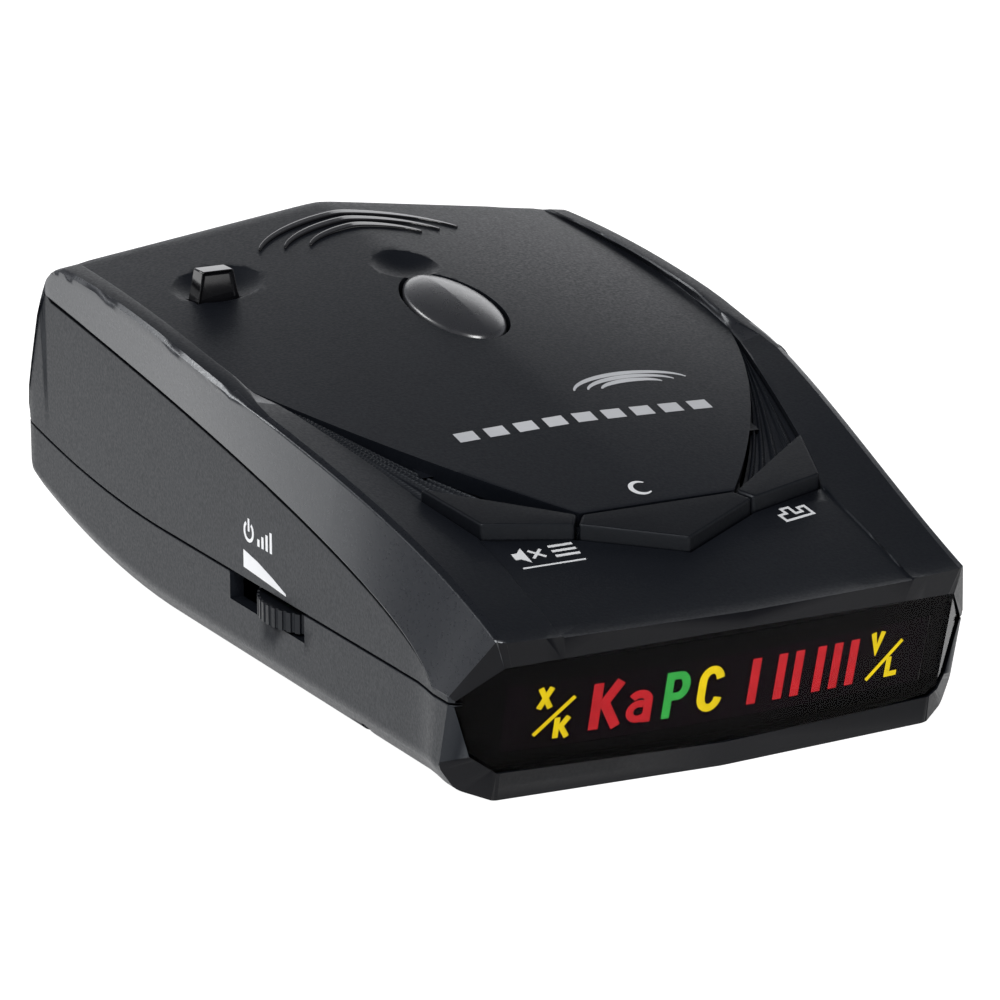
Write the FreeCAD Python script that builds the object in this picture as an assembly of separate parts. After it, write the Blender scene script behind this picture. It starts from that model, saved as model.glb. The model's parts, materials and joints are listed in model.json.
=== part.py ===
"""Windscreen radar detector: a wedge-shaped two-part housing with its display, controls,
horn antenna, laser receivers, speaker and boards.  Millimetres, +Z up, display towards -Y.

Everything is modelled with Y = 0 at the corners of the display's top edge and Y growing
towards the antenna end.  save() then moves each piece so that the origin is under the
middle of the housing, on the surface that it lies on."""
import FreeCAD, Part
import math
import os

# ---- driving dimensions -------------------------------------------------------------
LENGTH = 126.5            # display face to antenna end
WIDTH = 74.8              # at the antenna end
BOW = 2.0                 # how far the middle of the display edge stands forward
BOW_RADIUS = 231.0        # plan radius of the display face
FACE_TOP = 20.2           # height of the display's top edge
FACE_LEAN = 0.26          # the display face runs back this much per mm downward
FACE_HALF = 29.5          # half width of the bowed face, where the corner facets begin
SHOULDER_HALF = 33.7      # half width at the near end of the side walls
CREASE = 22.8             # half distance between the two creases in the front deck
SPLIT = 12.1              # height of the parting line along most of the length
FLAT_HALF = 27.8          # half width of the flat underside
CHINE = 2.7               # height of the side walls' lower edge
BELLY_START = 80.0        # where the underside begins to rise
WALL = 2.0
ROUND_START = 108.0       # where the top rounds over at the antenna end
END_Y = LENGTH - BOW      # the furthest point of the antenna end
FAR_CORNER = 4.0          # plan radius of the two far corners
GAP = 0.25                # clearance round each button
STATIONS = (-6, 0, 4, 9.5, 14, 20, 28, 38, 50, 60, 72, 86, 100, 114, 130)

APEX = (32.9, 59.1)       # where the raised shield meets the side rails
SHIELD_ARC = (23.2, 37.0)
PAD_BACK_IN = (10.2, 18.65)
PAD_BACK_OUT = (25.9, 29.6)
PAD_FRONT_OUT = (22.6, 19.45)
PAD_FRONT_IN = (11.75, 16.6)
CHEVRON = (0.0, 10.9)
RIBS = 4                  # ribs in each sliver beside the shield
RIB_FLOOR = 0.95          # the slivers' floor lies this far below the top panel's surface
RIB_TOP = 0.4

LENS_Y = 70.3             # oval laser lens in the top
LENS_HALF = (5.3, 10.0)
WHEEL_CENTRE = (-25.7, 49.9)
WHEEL_RADIUS = 10.0
WHEEL_Z = (8.9, 11.3)
NOTCH_Y = (41.9, 61.7)
NOTCH_FLOOR = 8.5
JACK_Y = 54.5
JACK_Z = 28.6
JACK_BORE = 1.8
JACK_DEPTH = 10.0
TAB_CENTRE = (-24.7, 88.0)
SPRING_Z = (23.4, 27.7)
BOARD_Z = 13.4
BOARD_THICK = 1.6
BOARD_Y = (14.0, 62.0)
BOARD_HALF = 28.5
BOARD_HOLES = ((-25.0, 18.0), (25.0, 18.0), (-25.0, 36.0), (25.0, 58.5))
CASE_SCREWS = ((-30.2, 29.0), (30.2, 29.0), (-24.6, 107.0), (24.6, 107.0))
SPEAKER = (8.0, 38.0)
SPEAKER_RADIUS = 14.0
HORN_Y = (84.0, 115.0)
HORN_MOUTH = (20.0, 10.0)
HORN_THROAT = (6.0, 3.0)
HORN_Z = 20.0
CELLS = 8                 # light cells behind the display

os.makedirs("parts", exist_ok=True)


def save(name, *solids):
    """Writes one node, moved to the part's own origin."""
    group = solids[0] if len(solids) == 1 else Part.makeCompound(list(solids))
    moved = group.copy()
    moved.translate(FreeCAD.Vector(0, BOW - LENGTH / 2, 0))
    moved.exportStep("parts/" + name + ".step")


def vec(x, y, z):
    return FreeCAD.Vector(x, y, z)


def box(x, y, z):
    """A box from three (low, high) pairs."""
    return Part.makeBox(x[1] - x[0], y[1] - y[0], z[1] - z[0], vec(x[0], y[0], z[0]))


def rod(x, y, z, radius):
    """An upright cylinder between two heights."""
    return Part.makeCylinder(radius, z[1] - z[0], vec(x, y, z[0]))


def cross_rod(x, y, z, radius):
    """A cylinder along X between two x places."""
    return Part.makeCylinder(radius, x[1] - x[0], vec(x[0], y, z), vec(1, 0, 0))


def tube(x, y, z, outer, inner):
    return rod(x, y, z, outer).cut(rod(x, y, z, inner))


def face_of(points):
    return Part.Face(Part.makePolygon(points + points[:1]))


def plan_prism(outline, low, high):
    """An upright prism over a plan outline of (x, y) points."""
    return face_of([vec(x, y, low) for x, y in outline]).extrude(vec(0, 0, high - low))


def grown(outline, gap):
    """A plan outline grown outwards by a gap."""
    face = face_of([vec(x, y, 0) for x, y in outline])
    return face.makeOffset2D(gap, 2, False, False, False)


def grown_prism(outline, gap, low, high):
    face = grown(outline, gap)
    face.translate(vec(0, 0, low))
    return face.extrude(vec(0, 0, high - low))


def mirrored(half):
    """Both halves of a plan outline or section, from its x > 0 points."""
    return half + [(-x, other) for x, other in reversed(half) if x > 0]


def clamp(value):
    return max(0.0, min(1.0, value))


# ---- the housing's surfaces ---------------------------------------------------------
def side_half(y):
    """Half width of the side walls."""
    return SHOULDER_HALF + (WIDTH / 2 - SHOULDER_HALF) * clamp((y - 5.4) / 116.0)


def crest_half(y):
    """Half width at the crest of the side rails."""
    t = clamp(y / 72.0)
    return 30.3 + 6.7 * t * t * (3 - 2 * t)


def crest_height(y):
    y = max(0.0, y)
    return FACE_TOP + 0.365 * y - 0.0017 * y * y


def dark_line(y):
    """Height of the groove under the rails' bevel."""
    rise = 1.82 * max(0.0, y - 9.5) ** 0.545
    return max(SPLIT + 0.9, SPLIT + rise)


def split_height(y):
    return SPLIT + 0.0024 * max(0.0, y - BELLY_START) ** 2


def belly(y):
    return 0.0035 * max(0.0, y - BELLY_START) ** 2


def ridge_height(y):
    """Height of the top panel's centre line."""
    return 25.1 + 0.2393 * (y - 11.0) - 0.001069 * (y - 11.0) * (y - 69.5)


def panel_height(x, y):
    """The top panel: a shallow roof that gets steeper towards the antenna end."""
    steep = max(0.0, (y - 15.0) / 93.0)
    return ridge_height(y) - steep * (0.1 * abs(x) + 0.0015 * x * x)


def rail_inner(y):
    """Where the rail's inner side meets the top panel."""
    return 33.1 + 2.0 * math.sin(math.pi * clamp((y - 60.0) / 56.0))


def deck_height(x, y):
    """The front deck, which falls slightly inwards as far as the crease."""
    return crest_height(y) - 0.12 * clamp(y / 25.0) * (crest_half(y) - max(abs(x), CREASE))


def section_loft(sections):
    wires = [Part.makePolygon(points + points[:1]) for points in sections]
    return Part.makeLoft(wires, True, True)


def base_section(y, inset):
    """Deck, rails and recessed side panels at one station, inset by a wall thickness."""
    groove = 0.6 * clamp((y - 9.0) / 4.0)
    behind = clamp((y - 50.0) / 10.0)
    inner = crest_half(y) - 4.5 + behind * (rail_inner(y) - crest_half(y) + 4.5)
    inner_z = deck_height(inner, y) * (1 - behind) + (panel_height(inner, y) - 0.1) * behind
    middle_z = deck_height(CREASE, y) * (1 - behind) + (inner_z - 1.0) * behind
    crest = crest_half(y)
    side = side_half(y)
    half = [(0.0, middle_z),
            (CREASE, middle_z),
            (inner, inner_z),
            (crest - 1.2, crest_height(y)),
            (crest, crest_height(y) - 0.7),
            (side, dark_line(y)),
            (side - groove - 0.02, dark_line(y) - 0.5),
            (side - groove - 0.02, split_height(y) - (SPLIT if inset else 0.0))]
    if inset:
        half = [(max(0.0, x - inset) if x else 0.0, z - inset) for x, z in half]
    return [vec(x, y, z) for x, z in mirrored(half)]


def panel_solid(drop):
    """Everything under the top panel, lowered by a drop."""
    sections = []
    for y in STATIONS:
        half = [(x, panel_height(x, y) - drop) for x in (0.0, 12.0, 24.0, 36.0)] + [(36.0, split_height(y))]
        sections.append([vec(x, y, z) for x, z in mirrored(half)])
    return section_loft(sections)


def face_keep(offset):
    """The space behind the bowed and leaning display face, with its corner facets."""
    foot = FACE_LEAN * FACE_TOP + offset
    edge = BOW_RADIUS - math.sqrt(BOW_RADIUS ** 2 - FACE_HALF ** 2) - BOW
    wide = 60.0
    out_y = edge + (wide - FACE_HALF) * 0.886
    ends = [vec(FACE_HALF, edge + foot, 0), vec(-FACE_HALF, edge + foot, 0)]
    arc = Part.Arc(ends[1], vec(0, foot - BOW, 0), ends[0]).toShape()
    rest = Part.makePolygon([ends[0], vec(wide, out_y + foot, 0), vec(wide, 200, 0),
                             vec(-wide, 200, 0), vec(-wide, out_y + foot, 0), ends[1]])
    face = Part.Face(Part.Wire([arc] + rest.Edges))
    face.translate(vec(0, FACE_LEAN * 10.0, -10.0))
    height = 80.0
    return face.extrude(vec(0, -FACE_LEAN * height, height))


def end_keep(offset):
    """The space in front of the rounded antenna end.  Its top edge follows the roof."""
    top = ridge_height(ROUND_START)
    radius = 10.0
    lip = vec(0, ROUND_START - offset, top + 0.15)
    shoulder = vec(0, END_Y - 6.9 - offset, top - 8.0)
    bulge = vec(0, lip.y + radius * 0.62, lip.z - radius * 0.17)
    waist = vec(0, END_Y - offset, 17.0)
    low = vec(0, END_Y - 1.4 - offset, 8.8)
    under = vec(0, END_Y - 8.0 - offset, 3.0)
    toe = vec(0, END_Y - 26.0 - offset, -12.0)
    edges = [Part.Arc(lip, bulge, shoulder).toShape(),
             Part.makeLine(shoulder, waist),
             Part.makeLine(waist, low),
             Part.makeLine(low, under),
             Part.makeLine(under, toe)]
    front = [toe, vec(0, -40, -12), vec(0, -40, 90), vec(0, lip.y - 50, 90), vec(0, lip.y - 50, top - 4.0)]
    edges += Part.makePolygon(front + [lip]).Edges
    face = Part.Face(Part.Wire(edges))
    roof = 0.135
    halves = [face.extrude(vec(side * 60, 0, -roof * 60)) for side in (1, -1)]
    return halves[0].fuse(halves[1]).removeSplitter()


def corner_keep(offset):
    """Plan outline that rounds the two far corners."""
    half = WIDTH / 2 - offset
    far = END_Y - offset
    block = box((-half, half), (-20, far), (-5, 60))
    upright = [edge for edge in block.Edges if edge.BoundBox.ZLength > 60 and edge.BoundBox.YMin > 50]
    return block.makeFillet(FAR_CORNER, upright)


# ---- plan outlines ------------------------------------------------------------------
def between(start, end, share):
    return (start[0] + (end[0] - start[0]) * share, start[1] + (end[1] - start[1]) * share)


def rib_arc(share, side):
    """One arc from the apex to the side button's back edge; share 0 is the shield's own."""
    middle = between(SHIELD_ARC, between(APEX, PAD_BACK_OUT, 0.5), 0.97 * share)
    foot = between(PAD_BACK_IN, PAD_BACK_OUT, share)
    points = [vec(side * x, y, 0) for x, y in (APEX, middle, foot)]
    return Part.Arc(*points).toShape(), points


def upright(edges, low, high):
    face = Part.Face(Part.Wire(Part.__sortEdges__(edges)))
    face.translate(vec(0, 0, low))
    return face.extrude(vec(0, 0, high - low))


def shield_prism():
    """The raised middle of the top, from the buttons to the antenna end."""
    right, points = rib_arc(0.0, 1)
    left, others = rib_arc(0.0, -1)
    rail = [(rail_inner(y), y) for y in (68.0, 78.0, 90.0, 102.0)] + [(34.0, 130.0)]
    outline = [vec(x, y, 0) for x, y in [APEX] + rail]
    outline += [vec(-x, y, 0) for x, y in reversed([APEX] + rail)]
    edges = [right, left, Part.makeLine(points[2], others[2])] + Part.makePolygon(outline).Edges
    return upright(edges, 0, 60)


def band_prism(first, last, side):
    """The sliver between two rib arcs on one side."""
    inner, points = rib_arc(first, side)
    outer, others = rib_arc(last, side)
    return upright([inner, Part.makeLine(points[2], others[2]), outer], 0, 60)


def button_outlines():
    side = [PAD_FRONT_IN, PAD_FRONT_OUT, PAD_BACK_OUT, PAD_BACK_IN]
    middle = [CHEVRON, PAD_FRONT_IN, PAD_BACK_IN]
    middle = middle + [(-x, y) for x, y in reversed(middle) if x > 0]
    return {"quiet": [(-x, y) for x, y in side], "dark": middle, "city": side}


def ellipse_prism(half_x, half_y, centre_y, low, high):
    curve = Part.Ellipse(vec(0, centre_y + half_y, low), vec(half_x, centre_y, low), vec(0, centre_y, low))
    return Part.Face(Part.Wire([curve.toShape()])).extrude(vec(0, 0, high - low))


def window_hex(grow):
    """The display window's six-sided outline, as a prism along Y."""
    half = [(0.0, 17.9 + grow), (29.2, 17.0 + grow), (33.1 + grow, 12.9), (33.1 + grow, 6.9),
            (28.4, 3.5 - grow), (0.0, 3.1 - grow)]
    points = half + [(-x, z) for x, z in reversed(half) if x > 0]
    return face_of([vec(x, -20, z) for x, z in points]).extrude(vec(0, 32, 0))


def face_slab(front, back):
    """A sheet that follows the display face, between two depths behind it."""
    return face_keep(front).cut(face_keep(back))


def display_sheet(front, back, half, low, high):
    return face_slab(front, back).common(box((-half, half), (-10, 40), (low, high)))


# ---- housings -----------------------------------------------------------------------
def outside(shape):
    """Trims a shape to the display face, the antenna end and the far corners."""
    return shape.common(face_keep(0.0)).common(end_keep(0.0)).common(corner_keep(0.0))


def inside(shape):
    return shape.common(face_keep(3.0)).common(end_keep(WALL)).common(corner_keep(WALL))


def base_solid():
    return section_loft([base_section(y, 0.0) for y in STATIONS])


def tab_slot(grow):
    x, y = TAB_CENTRE
    return box((x - 3.1 - grow, x + 3.1 + grow), (y - 1.9 - grow, y + 1.9 + grow), (28.0, 50.0))


def bracket_space(side):
    """The way in for one prong of the windscreen bracket."""
    return box(sorted((side * 32.9, side * 28.4)), (84.0, 130.0), (30.5, 33.6))


def screw_bosses():
    bosses = []
    for x, y in CASE_SCREWS:
        roof = panel_height(x, y) if y > APEX[1] else deck_height(x, y)
        bosses.append(rod(x, y, (SPLIT + 0.3, roof - 1.2), 2.6))
    return bosses


def rib_solid():
    """The layer between the slivers' floor and the tops of their ribs, which stop short of the apex."""
    layer = outside(panel_solid(RIB_TOP)).cut(panel_solid(RIB_FLOOR + 0.2))
    return layer.common(box((-40, 40), (0, APEX[1] - 8.0), (0, 60)))


def top_housing(base):
    shield = shield_prism()
    panel = panel_solid(0.0)
    shape = base.fuse(outside(panel).common(shield))
    short = box((-40, 40), (0, APEX[1] - 1.6), (0, 60))
    slivers = [band_prism(0.0, 1.0, side).common(short) for side in (1, -1)]
    floor = panel_solid(RIB_FLOOR)
    for sliver in slivers:
        shape = shape.cut(sliver.cut(floor)).fuse(outside(floor).common(sliver))
    core = inside(section_loft([base_section(y, WALL) for y in STATIONS]))
    roof_core = inside(panel_solid(WALL + 0.2))
    shape = shape.cut(core).cut(roof_core.common(box((-24, 24), (34.0, 68), (5, 60))))
    shape = shape.cut(roof_core.common(box((-31, 31), (68, 130), (5, 60))))
    for side, sliver in zip((1, -1), slivers):
        shape = shape.fuse(floor.cut(panel_solid(RIB_FLOOR + 0.65)).common(sliver))
        for rib in range(RIBS):
            first = 0.14 + 0.22 * rib
            shape = shape.fuse(rib_solid().common(band_prism(first, first + 0.1, side)))
    for boss in screw_bosses():
        shape = shape.fuse(boss)
    for x, y in CASE_SCREWS:
        shape = shape.cut(rod(x, y, (SPLIT - 1, SPLIT + 13.5), 1.25))
    for outline in button_outlines().values():
        shape = shape.cut(grown_prism(outline, 0.1, 15, 45))
    shape = shape.cut(ellipse_prism(LENS_HALF[0] + 0.2, LENS_HALF[1] + 0.2, LENS_Y, 30, 50))
    shape = shape.cut(window_hex(0.1))
    shape = shape.cut(tab_slot(0.2))
    dish = Part.makeSphere(14.0, vec(TAB_CENTRE[0], TAB_CENTRE[1] + 1.5, 39.4 + 13.0))
    shape = shape.cut(dish)
    shape = shape.cut(cross_rod((WIDTH / 2 - 14.2, 40), JACK_Y, JACK_Z, 3.95))
    shape = shape.cut(cross_rod((WIDTH / 2 - 1.65, 40), JACK_Y, JACK_Z, 4.75))
    for side in (1, -1):
        shape = shape.cut(bracket_space(side))
    shape = shape.cut(box((-12.2, 12.2), (115, 130), (31.8, 36.2)))
    return shape.removeSplitter()


def tray_section(y, inset):
    groove = 0.6 * clamp((y - 9.0) / 4.0)
    side = side_half(y) - groove - 0.02 - inset
    rise = belly(y) + inset
    half = [(0.0, split_height(y) + 4 * inset), (side, split_height(y) + 4 * inset),
            (side, CHINE + rise), (FLAT_HALF - inset * 0.4, rise), (0.0, rise)]
    return [vec(x, y, z) for x, z in mirrored(half)]


def bottom_housing():
    shape = outside(section_loft([tray_section(y, 0.0) for y in STATIONS]))
    shape = shape.cut(inside(section_loft([tray_section(y, WALL) for y in STATIONS])))
    for x, y in CASE_SCREWS:
        floor = belly(y) + 0.6
        shape = shape.fuse(rod(x, y, (floor, SPLIT), 3.2).common(tray_room()))
        shape = shape.cut(rod(x, y, (-1, SPLIT + 2), 1.7)).cut(rod(x, y, (-1, 7.0 + belly(y)), 2.6))
    for x, y in BOARD_HOLES:
        shape = shape.fuse(tube(x, y, (WALL - 0.2, BOARD_Z), 2.4, 1.0))
    shape = shape.cut(window_hex(0.1))
    shape = shape.cut(box((-45, -30), NOTCH_Y, (NOTCH_FLOOR, 20)))
    for row in range(7):
        offset = (row - 3) * 3.2
        reach = math.sqrt(11.0 ** 2 - offset ** 2)
        slot = box((SPEAKER[0] + offset - 0.7, SPEAKER[0] + offset + 0.7),
                   (SPEAKER[1] - reach, SPEAKER[1] + reach), (-1, 3))
        shape = shape.cut(slot)
    shape = shape.cut(box((-21, 21), (56.0, 79.0), (-1, 0.4)))
    return shape.removeSplitter()


def tray_room():
    """The bottom housing's outer form, which its bosses stay inside."""
    return outside(section_loft([tray_section(y, 0.3) for y in STATIONS]))


# ---- display ------------------------------------------------------------------------
def display_window():
    return face_slab(0.35, 1.9).common(window_hex(-0.05))


def cell_centres():
    pitch = 54.0 / CELLS
    return [-27.0 + pitch * (cell + 0.5) for cell in range(CELLS)]


def light_box():
    shape = display_sheet(2.6, 8.4, 28.2, 4.4, 15.2)
    for x in cell_centres():
        shape = shape.cut(box((x - 2.9, x + 2.9), (-10, 40), (5.6, 14.0)))
    return shape


def display_leds():
    leds = []
    for x in cell_centres():
        leds.append(face_slab(7.6, 8.4).common(box((x - 1.0, x + 1.0), (-10, 40), (9.0, 10.6))))
    return leds


# ---- controls -----------------------------------------------------------------------
SWITCHES = {"quiet": (-19.2, 21.6), "dark": (0.0, 17.0), "city": (19.2, 21.6)}
SWITCH_TOP = BOARD_Z + BOARD_THICK + 3.6


def button(base, name, outline):
    """A button cap that continues the top panel, with its stem and retaining hook."""
    panel = panel_solid(0.0)
    cap = grown_prism(outline, GAP * -1.0, 15, 45).common(panel).cut(lowered(base, 1.2))
    x, y = SWITCHES[name]
    stem = rod(x, y, (SWITCH_TOP + 1.2, deck_height(x, y) - 0.6), 1.7)
    side = (x > 0) - (x < 0)
    low = deck_height(x, y) - 3.9
    if side:
        hook = box(sorted((x, x + side * 8.6)), (y - 0.8, y + 1.2), (low, low + 1.0))
        web = box(sorted((x, x + side * 3.0)), (y - 0.8, y + 1.2), (low, deck_height(x, y) - 0.6))
    else:
        hook = box((-2.5, 2.5), (y, 21.6), (low, low + 1.0))
        web = box((-2.5, 2.5), (y - 1.4, 18.0), (low, deck_height(x, y - 1.4) - 0.6))
    return cap.fuse(stem).fuse(web).fuse(hook).removeSplitter()


def lowered(shape, drop):
    copy = shape.copy()
    copy.translate(vec(0, 0, -drop))
    return copy


def switch_bodies():
    bodies = []
    for x, y in SWITCHES.values():
        body = box((x - 3, x + 3), (y - 3, y + 3), (BOARD_Z + BOARD_THICK, SWITCH_TOP))
        bodies.append(body.cut(rod(x, y, (SWITCH_TOP - 1.6, SWITCH_TOP + 1), 1.85)))
    return bodies


def switch_plunger(name):
    x, y = SWITCHES[name]
    return rod(x, y, (SWITCH_TOP - 0.8, SWITCH_TOP + 1.2), 1.6)


def volume_wheel():
    """A thumbwheel with a knurled rim and a D-shaped bore."""
    x, y = WHEEL_CENTRE
    wheel = rod(x, y, WHEEL_Z, WHEEL_RADIUS)
    teeth = 48
    for tooth in range(teeth):
        angle = 2 * math.pi * tooth / teeth
        notch = rod(x + WHEEL_RADIUS * math.cos(angle), y + WHEEL_RADIUS * math.sin(angle), (8, 12), 0.32)
        wheel = wheel.cut(notch)
    return wheel.cut(rod(x, y, (8, 12), 2.0))


def volume_control():
    """The control's body under the board, with the stub that the wheel turns on."""
    x, y = WHEEL_CENTRE
    body = rod(x, y, (WHEEL_Z[1] + 0.3, BOARD_Z), 4.8)
    stub = rod(x, y, (WHEEL_Z[0] - 1.2, BOARD_Z), 1.95)
    cap = rod(x, y, (WHEEL_Z[0] - 1.2, WHEEL_Z[0] - 0.3), 3.2)
    return body.fuse(stub).fuse(cap).removeSplitter()


def power_jack():
    """A round socket whose collar stands out through the right side wall."""
    face = WIDTH / 2
    shape = cross_rod((face - 14.0, face), JACK_Y, JACK_Z, 3.9)
    shape = shape.fuse(cross_rod((face - 1.6, face), JACK_Y, JACK_Z, 4.7))
    shape = shape.fuse(box((face - 14.0, face - 5.2), (JACK_Y - 4, JACK_Y + 4), (JACK_Z - 4.5, JACK_Z)))
    return shape.cut(cross_rod((face - JACK_DEPTH, face + 1), JACK_Y, JACK_Z, JACK_BORE)).removeSplitter()


def release_tab():
    """The thumb tab, narrower at its top, with the stem that carries the latch."""
    x, y = TAB_CENTRE
    flank = [vec(x - 3.0, y - 1.7, 38.0), vec(x + 3.0, y - 1.7, 38.0),
             vec(x + 2.1, y - 1.7, 42.9), vec(x - 2.1, y - 1.7, 42.9)]
    tab = face_of(flank).extrude(vec(0, 3.4, 0))
    stem = box((x - 2.4, x + 2.4), (y - 1.4, y + 1.4), (29.6, 38.2))
    stop = box((x - 3.9, x + 3.9), (y - 1.4, y + 1.4), (34.8, 36.0))
    return tab.fuse(stem).fuse(stop).removeSplitter()


def release_latch():
    x, y = TAB_CENTRE
    arm = box((-33.0, x + 2.4), (y - 1.4, y + 1.4), (28.0, 29.6))
    tooth = box((-32.4, -29.4), (y - 1.4, y + 1.4), (29.6, 31.6))
    return arm.fuse(tooth).removeSplitter()


def release_spring():
    """A small compression spring under the latch, lofted along its helix."""
    x, y = TAB_CENTRE
    turns, steps, coil, wire = 4.5, 12, 1.3, 0.22
    sections = []
    for step in range(int(turns * steps) + 1):
        angle = 2 * math.pi * step / steps
        rise = SPRING_Z[0] + (SPRING_Z[1] - SPRING_Z[0]) * step / (turns * steps)
        ring = []
        for corner in range(6):
            around = math.pi * corner / 3
            reach = coil + wire * math.cos(around)
            ring.append(vec(x + reach * math.cos(angle), y + reach * math.sin(angle),
                            rise + wire * math.sin(around)))
        sections.append(ring)
    return section_loft(sections)


def spring_seat():
    """A post from the side of the horn that the spring stands on."""
    x, y = TAB_CENTRE
    return box((x - 2.2, x + 2.2), (y - 2.2, y + 2.2), (WALL - 0.5, 23.1))


# ---- antenna and laser receivers ----------------------------------------------------
def mouth_wire(y, half_x, half_z):
    points = [vec(-half_x, y, HORN_Z - half_z), vec(half_x, y, HORN_Z - half_z),
              vec(half_x, y, HORN_Z + half_z), vec(-half_x, y, HORN_Z + half_z)]
    return Part.makePolygon(points + points[:1])


def horn_loft(grow):
    throat = mouth_wire(HORN_Y[0], HORN_THROAT[0] + grow, HORN_THROAT[1] + grow)
    mouth = mouth_wire(HORN_Y[1], HORN_MOUTH[0] + grow, HORN_MOUTH[1] + grow)
    return Part.makeLoft([throat, mouth], True, True)


BLOCK_Y = (67.0, HORN_Y[0] + 1.0)
BLOCK_HALF = 12.0
BLOCK_Z = (14.4, 26.0)
LID_SCREWS = [(x, y) for x in (-9.8, 9.8) for y in (69.4, 81.4)]


def horn_antenna():
    """A cast horn that opens towards the antenna end, with its mixer block behind it."""
    block = box((-BLOCK_HALF, BLOCK_HALF), BLOCK_Y, BLOCK_Z)
    pocket = box((-7.5, 7.5), (69.5, 81.5), (17.0, 27.0))
    guide = box((-HORN_THROAT[0], HORN_THROAT[0]), (81.0, 86.0),
                (HORN_Z - HORN_THROAT[1], HORN_Z + HORN_THROAT[1]))
    shape = horn_loft(1.5).fuse(block).cut(horn_loft(0.0)).cut(pocket).cut(guide)
    legs = [box((side * 9.8 - 2.0, side * 9.8 + 2.0), (70.0, 76.0), (WALL + 0.1, BLOCK_Z[0])) for side in (1, -1)]
    shape = shape.fuse(legs[0]).fuse(legs[1])
    for x, y in LID_SCREWS:
        shape = shape.cut(rod(x, y, (20.0, 27.0), 0.9))
    return shape.removeSplitter()


def antenna_lid():
    lid = box((-BLOCK_HALF, BLOCK_HALF), (BLOCK_Y[0], 83.0), (BLOCK_Z[1], BLOCK_Z[1] + 1.2))
    for x, y in LID_SCREWS:
        lid = lid.cut(rod(x, y, (20.0, 30.0), 0.9))
    return lid


def pan_screw(x, y, seat, length, shank, head):
    """A pan-head screw whose head sits on a seat and whose shank goes down from it."""
    return rod(x, y, (seat - length, seat), shank).fuse(rod(x, y, (seat, seat + 1.1), head))


def rf_board():
    board = box((-16.0, 16.0), (64.0, 84.5), (BLOCK_Z[1] + 2.6, BLOCK_Z[1] + 3.8))
    for x, y in LID_SCREWS:
        board = board.cut(rod(x, y, (20.0, 40.0), 2.2))
    return board


def board_spacers():
    z = (BLOCK_Z[1] + 1.2, BLOCK_Z[1] + 2.6)
    return [rod(x, 75.4, z, 1.8) for x in (-9.8, 9.8)]


def laser_lens():
    """A glossy oval dome in the top, on a flange below the roof."""
    slope = 0.205
    dome = Part.makeSphere(1.0)
    matrix = FreeCAD.Matrix(LENS_HALF[0] + 0.6, 0, 0, 0, 0, LENS_HALF[1] + 1.0, 0, LENS_Y,
                            0, slope * (LENS_HALF[1] + 1.0), 4.5, ridge_height(LENS_Y) - 3.3, 0, 0, 0, 1)
    dome = dome.transformGeometry(matrix)
    plug = ellipse_prism(LENS_HALF[0] - 0.1, LENS_HALF[1] - 0.1, LENS_Y, 33.6, 45.0)
    low = ellipse_prism(LENS_HALF[0] - 0.1, LENS_HALF[1] - 0.1, LENS_Y, 33.6, 36.0)
    flange = ellipse_prism(LENS_HALF[0] + 1.4, LENS_HALF[1] + 1.4, LENS_Y, 32.4, 33.9)
    return dome.common(plug).fuse(low).fuse(flange).removeSplitter()


def end_lens():
    """The laser window in the antenna end, which follows the end wall."""
    slab = end_keep(0.3).cut(end_keep(1.8))
    return slab.common(box((-12.0, 12.0), (112, 130), (32.0, 36.0)))


# ---- boards, speaker and small parts ------------------------------------------------
def main_board():
    board = box((-BOARD_HALF, BOARD_HALF), BOARD_Y, (BOARD_Z, BOARD_Z + BOARD_THICK))
    for x, y in BOARD_HOLES:
        board = board.cut(rod(x, y, (10, 20), 1.2))
    for x, y in CASE_SCREWS[:2]:
        board = board.cut(rod(x, y, (10, 20), 3.4))
    return board


def speaker_frame():
    x, y = SPEAKER
    rim = tube(x, y, (2.7, 3.5), SPEAKER_RADIUS, 12.2)
    bowl = Part.makeCone(13.0, 6.4, 4.0, vec(x, y, 3.5)).cut(Part.makeCone(12.2, 5.6, 4.0, vec(x, y, 3.5)))
    frame = rim.fuse(bowl)
    for turn in range(4):
        window = box((x - 2.5, x + 2.5), (y + 7.6, y + 11.0), (4.4, 6.6))
        window.rotate(vec(x, y, 0), vec(0, 0, 1), 45 + 90 * turn)
        frame = frame.cut(window)
    return frame.removeSplitter()


def speaker_cone():
    x, y = SPEAKER
    shell = Part.makeCone(11.8, 4.6, 3.2, vec(x, y, 3.0)).cut(Part.makeCone(11.4, 4.2, 3.2, vec(x, y, 3.0)))
    cap = rod(x, y, (5.6, 6.1), 4.4)
    return shell.fuse(cap).removeSplitter()


def capacitors():
    spots = ((18.0, 33.0), (18.0, 41.0), (22.0, 50.0))
    top = BOARD_Z + BOARD_THICK
    return [rod(x, y, (top, top + 7.0), 2.6) for x, y in spots]


def header_pins():
    top = BOARD_Z + BOARD_THICK
    strip = [box((-9.0, 9.0), (10.4, 12.0), (top + 0.1, top + 2.0))]
    pins = [box((x - 0.3, x + 0.3), (12.0, 13.9), (top + 0.6, top + 1.2)) for x in range(-8, 9, 2)]
    return strip + pins


def bracket_guides():
    guides = []
    for side in (1, -1):
        outer = box(sorted((side * 27.8, side * 33.4)), (92.0, 114.6), (29.9, 34.2))
        guides.append(outer.cut(bracket_space(side)))
    return guides


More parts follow.
